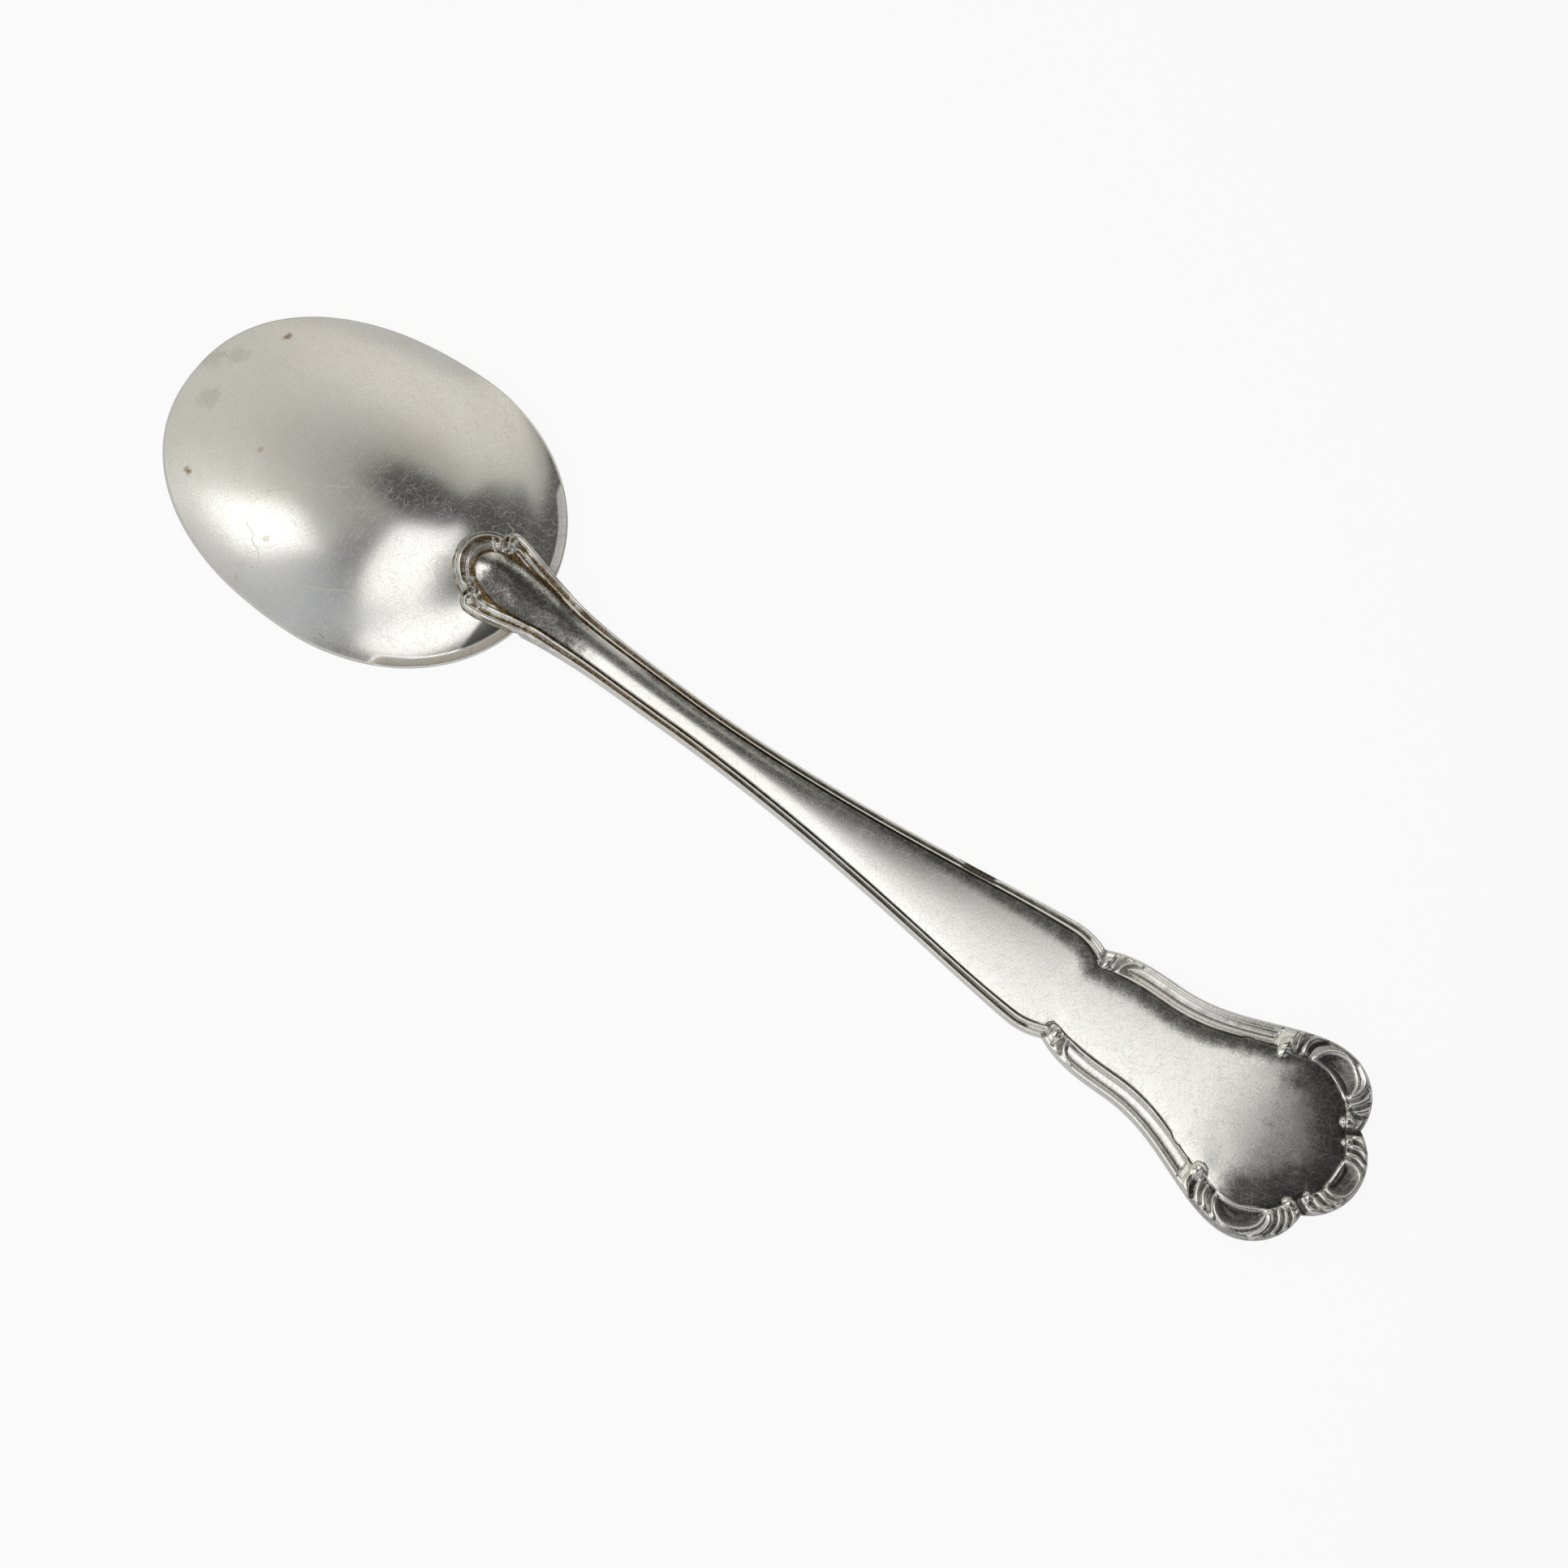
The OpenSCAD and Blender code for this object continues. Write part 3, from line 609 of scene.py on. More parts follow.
def relief(x, y, r, edge, reach, stations, side):
    """Height of the handle's surface above its ground on one side of Y = 0, and its wear and painted shade.

    Edge and reach are the distances from the outline and from the panel's foot. Outside that foot the height
    is the border's share of the bead's, plus ridges and knobs, less grooves and hollows. Inside, the panel
    rises as a sum of parabolas of reach.
    """
    foot, phi, ray = stations
    rays = panel_rays(foot, phi, ray)
    reed_w = curve_at(REED_W, foot + ray * np.cos(phi))

    border, in_cove = border_share(x, y, edge, reed_w)
    heel = fall(x, *HEEL_END)
    inner = rise(edge / reed_w, 0.86, 0.14) * fall(x, *REEDS_END)
    at_end = fall(np.degrees(phi), 72, 22) * (foot >= FOCUS_X)
    floor = mix(mix(STEM_FLOOR, HEEL_FLOOR, heel), END_FLOOR, at_end)
    border = mix(border, np.minimum(border, floor), np.where(x < 36, inner, 0))
    bead = bead_height(x)

    ridges = np.maximum(strokes(RIDGES + SIDE_RIDGES[side], x, y), knobs(KNOBS + SIDE_KNOBS[side], x, y))
    grooves = strokes(GROOVES + SIDE_GROOVES[side], x, y)
    hollow = np.maximum(*(dish(*form, x, y) for form in DISHES))
    outside = smooth((r - rays) / FOOT_BLUR + 0.5)
    chased = smooth(edge / EDGE_FADE_W) * (ridges - grooves - hollow)

    pillow_w = np.where(foot <= HEEL_X, TONGUE_W, np.minimum(curve_at(PILLOW_W, foot), rays))
    widths = (STEP_W, SHOULDER_CROWN_W, pillow_w)
    crown = sum(mix(stem, tongue, heel) * (1 - (1 - np.clip(reach / width, 0, 1)) ** 2)
                for stem, tongue, width in zip(STEM_SHARES, TONGUE_SHARES, widths))
    sink = PANEL_SINK * ramp(x, SINK_X, END_X - SINK_X) ** 2
    panel = mix(floor * bead, panel_height(x) - sink, crown)
    height = mix(panel, border * bead, outside) + chased * np.maximum(outside, ridges > 0)

    filed = (side > 0) * rise(x, *FILED_START) * fall(x, *FILED_END) * fall(edge, *FILED_W)
    height = mix(height, np.minimum(height, (FILED_EDGE + FILED_SLOPE * edge) * bead), filed)
    forms = (heel, in_cove, outside, ridges, grooves, hollow, filed)
    return height, *wear(x, edge, reach, edge / reed_w, r - rays, side, forms)


def wear(x, edge, reach, reed_share, off_foot, side, forms):
    """Brown dirt, grey tarnish with painted shade, and file marks, from 0 to about 1 each. Where kinds of one
    of them meet, the strongest counts, and ridges are rubbed clean."""
    heel, in_cove, outside, ridges, grooves, hollow, filed = forms
    within = 1 - outside

    reed_dirt = 0.75 * hump(reed_share, 0.48, 0.13, 4) * fall(x, *REED_DIRT_END) * outside
    seam = hump(off_foot, 0, mix(0.13, 0.22, heel)) * mix(0.8, 1, heel)
    floor_dirt = 0.85 * outside * fall(x, *FLOOR_DIRT_END) * rise(edge, 1.45, 0.3)
    cove_dirt = 0.42 * in_cove * outside * hump(edge, 1.0, 0.45)
    dirt = np.maximum.reduce([reed_dirt, seam, floor_dirt, np.clip(grooves * 1.6, 0, 0.7), cove_dirt])
    dirt = np.maximum(dirt * (1 - np.clip(ridges * 5, 0, 1)), 0.75 * filed)

    ornate = np.maximum(rise(x, *ORNATE_START), 0.25 * heel) * outside
    tongue = within * fall(x, *TONGUE_TARNISH_END) * rise(x, *TONGUE_TARNISH_START)
    # On the +Y side a grey band inside the panel's foot is painted shade, which joins the tongue's tarnish
    if side > 0:
        shade = smooth(1.25 - reach / curve_at(SHADE_W, x))
        tongue = tongue * (1 - 0.45 * hump(reach, 0.7, 0.35))
        tongue = np.maximum(tongue, 0.9 * within * rise(x, *SHADE_START) * shade)
    # Painted shade on the panel's end, standing in for the dark reflection of its curving end: darker near
    # the foot, and earlier on the +Y side
    end = within * rise(x + PAINTED_END_SHADE_SKEW * side, *PAINTED_END_SHADE_START)
    end = end * (0.42 + 0.4 * smooth(1.5 - reach / 3.2))
    # Tarnish in hollows, on the ornament and on the tongue, and painted shade along the +Y edge and on the
    # panel's end
    tarnish_and_shade = np.maximum.reduce([np.clip(hollow * 6, 0, 1.25), 0.5 * ornate, 0.85 * tongue, end])
    tarnish_and_shade = tarnish_and_shade * (1 - np.clip(ridges * 7, 0, 1))

    on_reeds = rise(x, *REED_MARKS[0]) * fall(x, *REED_MARKS[1]) * hump(edge, 0.35, 0.4, 4)
    on_panel = hump(reach, 0.35, 0.4) * rise(x, *PANEL_MARKS[0]) * fall(x, *PANEL_MARKS[1]) * within
    chatter = np.maximum.reduce([on_reeds, filed, 0.55 * in_cove * outside, 0.6 * on_panel])
    return dirt, tarnish_and_shade, chatter


def lift_back(x, y, height):
    """Height of the back: relief on the bowl's back at the heel, turning into relief on the stem's middle."""
    heel = bowl_back(np.minimum(x, NECK_X), y) + LAP_GAP + height
    return np.minimum(mix(heel, middle_z(x) + height, stem_share(x)), CROWN_Z)


def lift_face(x, y, height):
    """Height of the face: on the solder under the heel, then relief below the stem's middle, flat at 0."""
    lap = bowl_back(np.minimum(x, NECK_X), y) + LAP_GAP
    return np.where(x <= STEP_X, lap, np.maximum(middle_z(x) - height, 0))


# Steps across the border, across the margin inside the panel's foot, and on to the middle line
BACK_STEPS = (26, 10, 12)
FACE_STEPS = (8, 2, 3)
# Width of that margin by X, its largest share of the ray, and how the rest is spaced
MARGIN_W = [[-36, 0.5], [-20, 0.4], [30, 0.5], [35, 0.8], [38, 1.0], [42, 0.7], [52, 0.9], [56, 1.9],
            [60, 1.9], [63, 0.9], [70, 0.9]]
MARGIN_SHARE = 0.8
PANEL_CROWDING = 0.6
# Shares of the way down the flank, and how many stations each way the distance to a line is looked for
FLANK_SHARES = (0.25, 0.5, 0.75)
NEAR_STATIONS = 150


def sheet(half, border, margin, panel):
    """Plan of one side: for each station a row of places from the outline to the middle line, one of them at
    the panel's foot."""
    foot, phi, ray = (column[:, None] for column in half)
    rays = panel_rays(foot, phi, ray)
    inner = rays - np.minimum(curve_at(MARGIN_W, foot + ray * np.cos(phi)), MARGIN_SHARE * rays)
    share = np.arange(panel + 1) / panel
    r = np.hstack([mix(ray, rays, np.arange(border) / border), mix(rays, inner, np.arange(margin) / margin),
                   inner * (1 - mix(share, share**2, PANEL_CROWDING))])
    return foot + r * np.cos(phi), r * np.sin(phi), r


def handle(material):
    """One closed mesh. On each side a row of points runs from the back's middle line out, down the flank and
    along the face to its middle line, as X, Y, Z, dirt, tarnish with painted shade, and file marks."""
    half = half_outline()
    stations = foot, phi, ray = tuple(column[:, None] for column in half)
    outline = np.hstack([foot + ray * np.cos(phi), ray * np.sin(phi)])
    rays = panel_rays(*stations)
    foot_line = np.hstack([foot + rays * np.cos(phi), rays * np.sin(phi)])
    sides = {1: [], -1: []}
    for steps, lift in ((BACK_STEPS, lift_back), (FACE_STEPS, lift_face)):
        x, y, r = sheet(half, *steps)
        edge, reach = distance_near(outline, x, y), distance_near(foot_line, x, y)
        for side, layers in sides.items():
            height, *shares = relief(x, y, r, edge, reach, stations, side)
            layers.append(np.stack([x, side * y, lift(x, y, height), *shares], -1))
    joined = []
    for back, face in sides.values():
        flank = [mix(back[:, :1], face[:, :1], share) * [1, 1, 1, 0, 0, 0] for share in FLANK_SHARES]
        joined.append(np.hstack([back[:, ::-1], *flank, face * [1, 1, 1, 1, 1, 0]]))
    return close_sides("handle", *joined, material)


def distance_near(line, x, y):
    """Distance from each place to a line with a point for each station, by the stations near its own."""
    n = len(line)
    best = np.full(x.shape, np.inf)
    for shift in range(-NEAR_STATIONS, NEAR_STATIONS):
        at = np.clip(np.arange(n) + shift, 0, n - 2)
        a, b = line[at][:, None, :], line[at + 1][:, None, :]
        d = b - a
        t = np.clip(((x - a[..., 0]) * d[..., 0] + (y - a[..., 1]) * d[..., 1]) / (d**2).sum(-1), 0, 1)
        best = np.minimum(best, np.hypot(x - a[..., 0] - t * d[..., 0], y - a[..., 1] - t * d[..., 1]))
    return best


def close_sides(name, near, far, material):
    """Joins the sides' rows along the middle lines and at both ends into one closed mesh. Where welding gives
    a face one corner twice, it becomes a triangle, and where two, it is dropped."""
    rows, columns = near.shape[:2]
    index = np.arange(rows * columns).reshape(rows, columns)
    loop = np.vstack([index, (index + rows * columns)[::-1]])
    following = np.roll(loop, -1, axis=0)
    quads = np.stack([loop[:, :-1], following[:, :-1], following[:, 1:], loop[:, 1:]], -1).reshape(-1, 4)
    values = np.vstack([near.reshape(rows * columns, -1), far.reshape(rows * columns, -1)])
    points, quads, kept = weld(values[:, :3], quads)
    same = np.stack([quads[:, i] == quads[:, (i + 1) % 4] for i in range(4)], -1)
    count = same.sum(1)
    squeezed, which = quads[count == 1], same[count == 1].argmax(1)
    triangles = np.take_along_axis(squeezed, (which[:, None] + np.array([1, 2, 3])) % 4, 1)
    piece = put_mesh(name, points, quads[count == 0], triangles, material)
    for column, attribute in enumerate(("dirt", "tarnish_and_shade", "chatter"), start=3):
        put_attribute(piece, attribute, values[kept, column])
    return piece


def weld(points, faces):
    """Merges points that lie within a micrometre of each other."""
    key = np.round(points * 1000).astype(np.int64)
    _, kept, back = np.unique(key, axis=0, return_index=True, return_inverse=True)
    return points[kept], back.reshape(-1)[faces], kept


def close_rings(name, grid, ends, material):
    """One closed mesh of rings of points, with a fan of triangles to a middle point at both ends."""
    n, sectors = grid.shape[:2]
    index = np.arange(n * sectors).reshape(n, sectors)
    side = np.roll(index, -1, axis=1)
    quads = np.stack([index[:-1], side[:-1], side[1:], index[1:]], -1).reshape(-1, 4)
    fans = [np.column_stack([np.full(sectors, n * sectors), side[0], index[0]]),
            np.column_stack([np.full(sectors, n * sectors + 1), index[-1], side[-1]])]
    return put_mesh(name, np.vstack([grid.reshape(-1, 3), ends]), quads, np.vstack(fans), material)


# The bowl's mesh: points in a ring, rings of the hollow, the lip as distance from the rim and height over
# its lower edge, and the back's rings by distance from the rim
SECTORS = 360
HOLLOW_RINGS = 80
LIP = [(0.8, 0.0), (0.55, 0.0), (0.32, 0.0), (0.16, 0.02), (0.06, 0.08), (0.01, 0.2), (0.0, 0.34), (0.0, 0.5),
       (0.02, 0.62), (0.07, 0.72)]
BACK_RINGS = np.concatenate([0.13 + 0.11 * np.arange(24), 2.8 + (BOWL_W / 2 - 2.95) * np.arange(90) / 90])
# The filed bevel: height and slope at the edge, where it starts on the +Y and the -Y side, its run, its
# greatest width, and the depth taken off at which it looks freshly filed
BEVEL_EDGE_T = 0.05
BEVEL_SLOPE = 1.0
BEVEL_START_X = (-33.0, -37.0)
BEVEL_RUN = 2.0
BEVEL_W = 3
BEVEL_CLEAN_T = 0.08


def bowl_plan(angle, rho):
    """Place on the bowl's plan: an oval whose reach and roundness change smoothly from tip to neck."""
    c, s = np.cos(angle), np.sin(angle)
    tip = fall(c, 0.35, 0.7)
    power = mix(2, mix(SHOULDER_POWER, TIP_POWER, tip), np.clip(rho, 0, 1) ** 2)
    x = BOWL_X + rho * mix(BOWL_NECK_L, BOWL_TIP_L, tip) * np.sign(c) * np.abs(c) ** (2 / power)
    return x, rho * BOWL_W / 2 * np.sign(s) * np.abs(s) ** (2 / power)


def shoulder_bevel(x, y, z, inset):
    """The back's edge is filed to a flat on both shoulders: a slope from the edge inwards."""
    start = np.where(y > 0, *BEVEL_START_X)
    flat = rim_z(x) + BEVEL_EDGE_T + BEVEL_SLOPE * inset
    return mix(z, np.minimum(z, flat), rise(x, start, BEVEL_RUN) * (inset < BEVEL_W))


def bowl(material):
    """One closed mesh of rings: the hollow from its middle out, the lip, and the back inwards."""
    angle = np.arange(SECTORS) * 2 * np.pi / SECTORS
    half = BOWL_W / 2
    rings = []
    lip_share = 1 - LIP[0][0] / half
    for share in np.arange(1, HOLLOW_RINGS) / HOLLOW_RINGS:
        x, y = bowl_plan(angle, share * lip_share)
        rings.append((x, y, rim_z(x) + (BOWL_DEPTH + RIM_T - BOWL_WALL) * dome(x, share + 0 * x), 0 * x))
    for inset, lift in LIP:
        x, y = bowl_plan(angle, 1 - inset / half)
        rings.append((x, y, rim_z(x) + lift, 0 * x))
    for inset in BACK_RINGS:
        rho = 1 - inset / half
        x, y = bowl_plan(angle, rho)
        z = np.minimum(rim_z(x) + RIM_T + BOWL_DEPTH * dome(x, rho + 0 * x), CROWN_Z)
        bevelled = shoulder_bevel(x, y, z, inset)
        rings.append((x, y, bevelled, smooth((z - bevelled) / BEVEL_CLEAN_T)))
    *places, filed = np.array(rings).transpose(1, 0, 2)
    crown = rim_z(BOWL_X) + BOWL_DEPTH + RIM_T
    ends = [[BOWL_X, 0, crown - BOWL_WALL], [BOWL_X, 0, crown]]
    piece = close_rings("bowl", np.stack(places, -1), ends, material)
    put_attribute(piece, "filed", np.append(filed.ravel(), [0, 0]))
    put_attribute(piece, "back", np.arange(filed.size + 2) > filed.size - SECTORS * len(BACK_RINGS))
    return piece


# The fillet: its width, the waves of its ragged edge as height, number and start, and a pool of solder as
# added width, angle and reach
FILLET_W = 0.36
FILLET_WAVES = ((0.09, 9, 1), (0.03, 23, 0))
FILLET_POOL_W = 0.3
FILLET_POOL = (-2.5, 0.45)
FILLET_START_RUN = 0.25
# The film's section from its lower face round the fillet to its upper: distance from the heel's outline,
# outside it as a share of the fillet's width, and height
FILM = [(-2.2, SOLDER_LOW), (-1.0, SOLDER_LOW), (0.0, 0.01), (0.3, 0.006), (0.38, 0.012), (0.25, 0.03),
        (0.12, 0.075), (0.02, 0.14), (-0.1, 0.1), (-1.0, SOLDER_HIGH), (-2.2, SOLDER_HIGH)]
# Points round one half of the film: the neck's end, the flank, the side lobe and the heel's lobe
FILM_STEPS = (40, 90, 50, 80)


def solder(material):
    """The lap's film, which shows round the heel as a small concave fillet against the bowl's back."""
    end_phi = np.arctan2(half_width(STEP_X), STEP_X - HEEL_X)
    bounds = (0, end_phi, np.pi / 2, HEEL_NOTCH, np.pi)
    arcs = [np.linspace(a, b, n)[1:] for a, b, n in zip(bounds, bounds[1:], FILM_STEPS)]
    phi = np.concatenate([[0.0], *arcs])
    flank = ray_to_flank(phi, HEEL_X, HEEL_W / 2, NECK_X)
    neck = (NECK_X - HEEL_X) / np.cos(phi)
    ray = np.where(phi >= np.pi / 2, heel_ray(phi), np.where(phi > end_phi, flank, neck))
    phi = np.concatenate([phi, -phi[-2:0:-1]])
    ray = np.concatenate([ray, ray[-2:0:-1]])
    ragged = sum(height * np.sin(waves * phi + start) for height, waves, start in FILLET_WAVES)
    ragged = ragged + FILLET_POOL_W * hump(phi, *FILLET_POOL)
    width = rise(np.abs(phi), end_phi, FILLET_START_RUN) * (FILLET_W + ragged)
    rings = []
    for reach, lift in FILM:
        r = np.maximum(ray + np.where(reach > 0, reach * width, reach), 0.2)
        x, y = HEEL_X + r * np.cos(phi), r * np.sin(phi)
        rings.append(np.column_stack([x, y, bowl_back(np.minimum(x, NECK_X), y) + lift]))
    crown = bowl_back(np.array(HEEL_X), np.array(0.0))
    ends = [[HEEL_X, 0, crown + SOLDER_LOW], [HEEL_X, 0, crown + SOLDER_HIGH]]
    return close_rings("solder_fillet", np.array(rings), ends, material)


class Value:
    """A number or colour in a material's nodes. Arithmetic on numbers adds Math nodes."""

    def __init__(self, nodes, socket):
        self.nodes = nodes
        self.socket = socket

    def math(self, operation, *others):
        return self.nodes.add("ShaderNodeMath", {"operation": operation}, dict(enumerate((self, *others))))

    def __add__(self, other):
        return self.math("ADD", other)

    __radd__ = __add__

    def __mul__(self, other):
        return self.math("MULTIPLY", other)

    __rmul__ = __mul__

    def __sub__(self, other):
        return self.math("SUBTRACT", other)

    def __rsub__(self, other):
        return self * -1 + other

    def __pow__(self, other):
        return self.math("POWER", other)

    def over(self, low, high):
        """0 up to low, 1 from high on, and eased between them; low may be the larger."""
        ends = {"From Min": low, "From Max": high, "Value": self}
        return self.nodes.add("ShaderNodeMapRange", {"interpolation_type": "SMOOTHSTEP"}, ends)


class Nodes:
    """The node tree of one material."""

    def __init__(self, tree):
        self.tree = tree
        tree.nodes.clear()

    def add(self, kind, settings=None, inputs=None, output=0):
        """A node of that kind: its settings first, then its sockets' values or links."""
        node = self.tree.nodes.new(kind)
        for key, value in (settings or {}).items():
            setattr(node, key, value)
        for key, value in (inputs or {}).items():
            if isinstance(value, Value):
                self.tree.links.new(value.socket, node.inputs[key])
            else:
                node.inputs[key].default_value = value
        return Value(self, node.outputs[output]) if node.outputs else None

    def place(self, scale=(1, 1, 1), turn=0.0, shift=(0, 0, 0)):
        """Object coordinates in millimetres, shifted, turned about Z and scaled."""
        here = self.add("ShaderNodeTexCoord", output="Object")
        moved = self.add("ShaderNodeMapping", {}, {"Vector": here, "Scale": (1 / MM,) * 3, "Location": shift})
        turned = self.add("ShaderNodeMapping", {}, {"Vector": moved, "Rotation": (0, 0, turn)})
        return self.add("ShaderNodeMapping", {}, {"Vector": turned, "Scale": scale})

    def noise(self, where, scale, detail, rough):
        return self.add("ShaderNodeTexNoise", {"noise_dimensions": "3D"},
                        {"Vector": where, "Scale": scale, "Detail": detail, "Roughness": rough})

    def cloud(self, scale, detail, rough):
        """Noise over object coordinates."""
        return self.noise(self.place(), scale, detail, rough)

    def along(self, axis):
        """Object coordinates in millimetres along X, for axis 0, or along Y, for axis 1."""
        return self.add("ShaderNodeSeparateXYZ", {}, {0: self.place()}, output=axis)

    def blend(self, share, a, b):
        """The colour a share of the way from a to b, each three numbers or a Value."""
        a, b = (colour if isinstance(colour, Value) else (*colour, 1) for colour in (a, b))
        return self.add("ShaderNodeMix", {"data_type": "RGBA"}, {0: share, 6: a, 7: b}, output=2)

    def surface(self, shader):
        self.add("ShaderNodeOutputMaterial", {}, {"Surface": shader})

    def principled(self, inputs):
        self.surface(self.add("ShaderNodeBsdfPrincipled", {}, inputs))

    def attribute(self, name):
        return self.add("ShaderNodeAttribute", {"attribute_name": name}, output="Fac")


def new_material(name):
    """A material, and its node tree to fill."""
    material = bpy.data.materials.new(name)
    material.use_nodes = True
    return material, Nodes(material.node_tree)


def scratches(nodes, turns, fine, length, wear):
    """Fine scratches: for each direction a noise drawn out along it, of which only the crests are kept."""
    total = None
    for i, turn in enumerate(turns):
        where = nodes.place(scale=(length, fine, 0.1), turn=turn, shift=(13.0 * i, 7.0 * i, 3.0 * i))
        lines = nodes.noise(where, 1.0, 0.0, 0.5).over(wear, wear + 0.08)
        total = lines if total is None else total + lines
    return total


def spots(nodes, places, radius):
    """1 near any of the places, 0 from 1.3 of a radius in millimetres on, with a ragged edge."""
    here = nodes.place()
    ragged = (nodes.noise(here, 1.1, 4.0, 0.7) - 0.5) * (3.0 * radius)
    total = None
    for place in places:
        away = nodes.add("ShaderNodeVectorMath", {"operation": "DISTANCE"}, {0: here, 1: place}, output=1)
        spot = (away + ragged).over(1.3 * radius, 0.4 * radius)
        total = spot if total is None else total + spot
    return total


def scratch(nodes, x, y, width, start, end):
    """1 on a straight scratch and 0 beside it, by the distance to the nearest place between its ends."""
    (ax, ay), (bx, by) = start, end
    dx, dy = bx - ax, by - ay
    length = dx * dx + dy * dy
    along = nodes.add("ShaderNodeClamp", {}, {0: (x - ax) * (dx / length) + (y - ay) * (dy / length)})
    away = ((x - ax - along * dx) ** 2 + (y - ay - along * dy) ** 2) ** 0.5
    return away.over(width, 0.3 * width)


# Colours of the silver, of the films, spots and dirt on it, and of the painted shade, highlight and
# reflection
WARM_SILVER = (0.83, 0.81, 0.77)
COOL_SILVER = (0.87, 0.86, 0.84)
GRAIN_BROWN = (0.5, 0.47, 0.43)
# Colour of the painted dark reflection beside the neck
PAINTED_REFLECTION_DARK = (0.1, 0.1, 0.095)
# Filed flats: a pale matte colour, whitened to stand in for the lamp's reflection on the +Y shoulder, so
# partly a painted highlight
FILED_WHITE_AND_SHEEN = (0.95, 0.94, 0.91)
FILED_BEIGE = (0.7, 0.65, 0.56)
FILED_LINES = (0.4, 0.36, 0.3)
DRAWN_LINES = (0.8, 0.74, 0.6)
SPOT_BROWN = (0.3, 0.2, 0.1)
SPOT_FAINT = (0.5, 0.4, 0.27)
WATER_GREY = (0.45, 0.43, 0.4)
FLECK_BROWN = (0.36, 0.27, 0.19)
HEEL_FILM = (0.3, 0.27, 0.235)
# Grey of the tarnish, which also paints the shade along the panel's +Y edge and on its end
TARNISH_AND_SHADE_GREY = (0.055, 0.053, 0.048)
OCHRE_DARK = (0.12, 0.075, 0.03)
OCHRE_LIGHT = (0.5, 0.35, 0.16)
DIRT_BROWN = (0.08, 0.066, 0.052)
FILE_MARKS = (0.42, 0.36, 0.33)
SOLDER_DARK = (0.24, 0.16, 0.08)
SOLDER_LIGHT = (0.66, 0.6, 0.5)
# Directions of the fine scratches and of the longer marks, as turns about Z
FINE_TURNS = (0.3, 0.95, 1.6, 2.2, 2.8)
MARK_TURNS = (0.7, 1.9, 2.5)


class Silver:
    """Worn silver: a soft polish with a warm cloud, brown grain, and fine scratches, longer marks and specks,
    which lower the metal share."""

    def __init__(self, name):
        self.material, self.nodes = new_material(name)
        nodes = self.nodes
        cloud = nodes.cloud(0.14, 3.0, 0.55)
        self.grain = nodes.cloud(5.0, 3.0, 0.65)
        self.fine = scratches(nodes, FINE_TURNS, 10.0, 0.6, 0.65)
        self.marks = scratches(nodes, MARK_TURNS, 5.5, 0.16, 0.79)
        self.colour = nodes.blend(cloud.over(0.3, 0.7), WARM_SILVER, COOL_SILVER)
        self.colour = nodes.blend(self.grain.over(0.5, 0.75) * 0.3, self.colour, GRAIN_BROWN)
        self.rough = 0.16 + cloud * 0.07 + self.grain * 0.08
        self.height = self.grain * 0.3 - self.fine * 0.07 - self.marks * 0.12
        specks = nodes.cloud(9.0, 3.0, 0.75).over(0.5, 0.72)
        self.metal = 1.0 - specks * 0.22 - self.fine * 0.17 - self.marks * 0.14

    def stain(self, share, colour, roughness):
        """Mixes in a film of that colour, which adds its share of that roughness."""
        self.colour = self.nodes.blend(share, self.colour, colour)
        self.rough = self.rough + share * roughness

    def finish(self):
        nodes = self.nodes
        bump = nodes.add("ShaderNodeBump", {}, {"Strength": 0.35, "Distance": 0.00002, "Height": self.height})
        nodes.principled({"Base Color": self.colour, "Metallic": self.metal, "Roughness": self.rough,
                          "Normal": bump})
        return self.material


# Places on the bowl's back of brown spots, grey rings left by water, and flecks near the lower rim
BROWN_SPOTS = [(-63.94, 7.89, 2.5), (-63.36, -8.76, 2.4)]
FAINT_SPOTS = [(-57.88, -3.59, 6.3), (-52.06, -10.41, 5.6)]
GREY_STAINS = [(-69.0, 2.2, 1.3), (-66.28, -1.7, 2.9), (-67.0, 3.66, 2.2), (-36.2, -3.05, 7.1)]
# Straight stretches of the long scratches on the bowl's back: half-width and ends
SCRATCHES = [(0.12, (-54.6, -6.7), (-51.5, -4.2)), (0.12, (-51.5, -4.2), (-47.9, -2.2)),
             (0.1, (-48, -13), (-41.3, -9.7)),
             (0.08, (-54.5, -9.7), (-53.2, -11.2)), (0.08, (-53.2, -11.2), (-51.1, -12.2)),
             (0.12, (-34.1, 4.7), (-33.2, 4.65)), (0.12, (-33.2, 4.65), (-32.75, 3.8))]
FLECKS = [(-52.5, -14.0, 3.2), (-49.0, -14.4, 3.2), (-45.5, -14.6, 3.3), (-42.0, -14.2, 3.5),
          (-38.5, -13.5, 3.5)]
# The painted dark reflection beside the neck on the -Y side: where it starts along X and along Y, each as
# none and full
REFLECTION_PATCH_X = (-30.7, -30.2)
REFLECTION_PATCH_Y = (-3.4, -4.0)


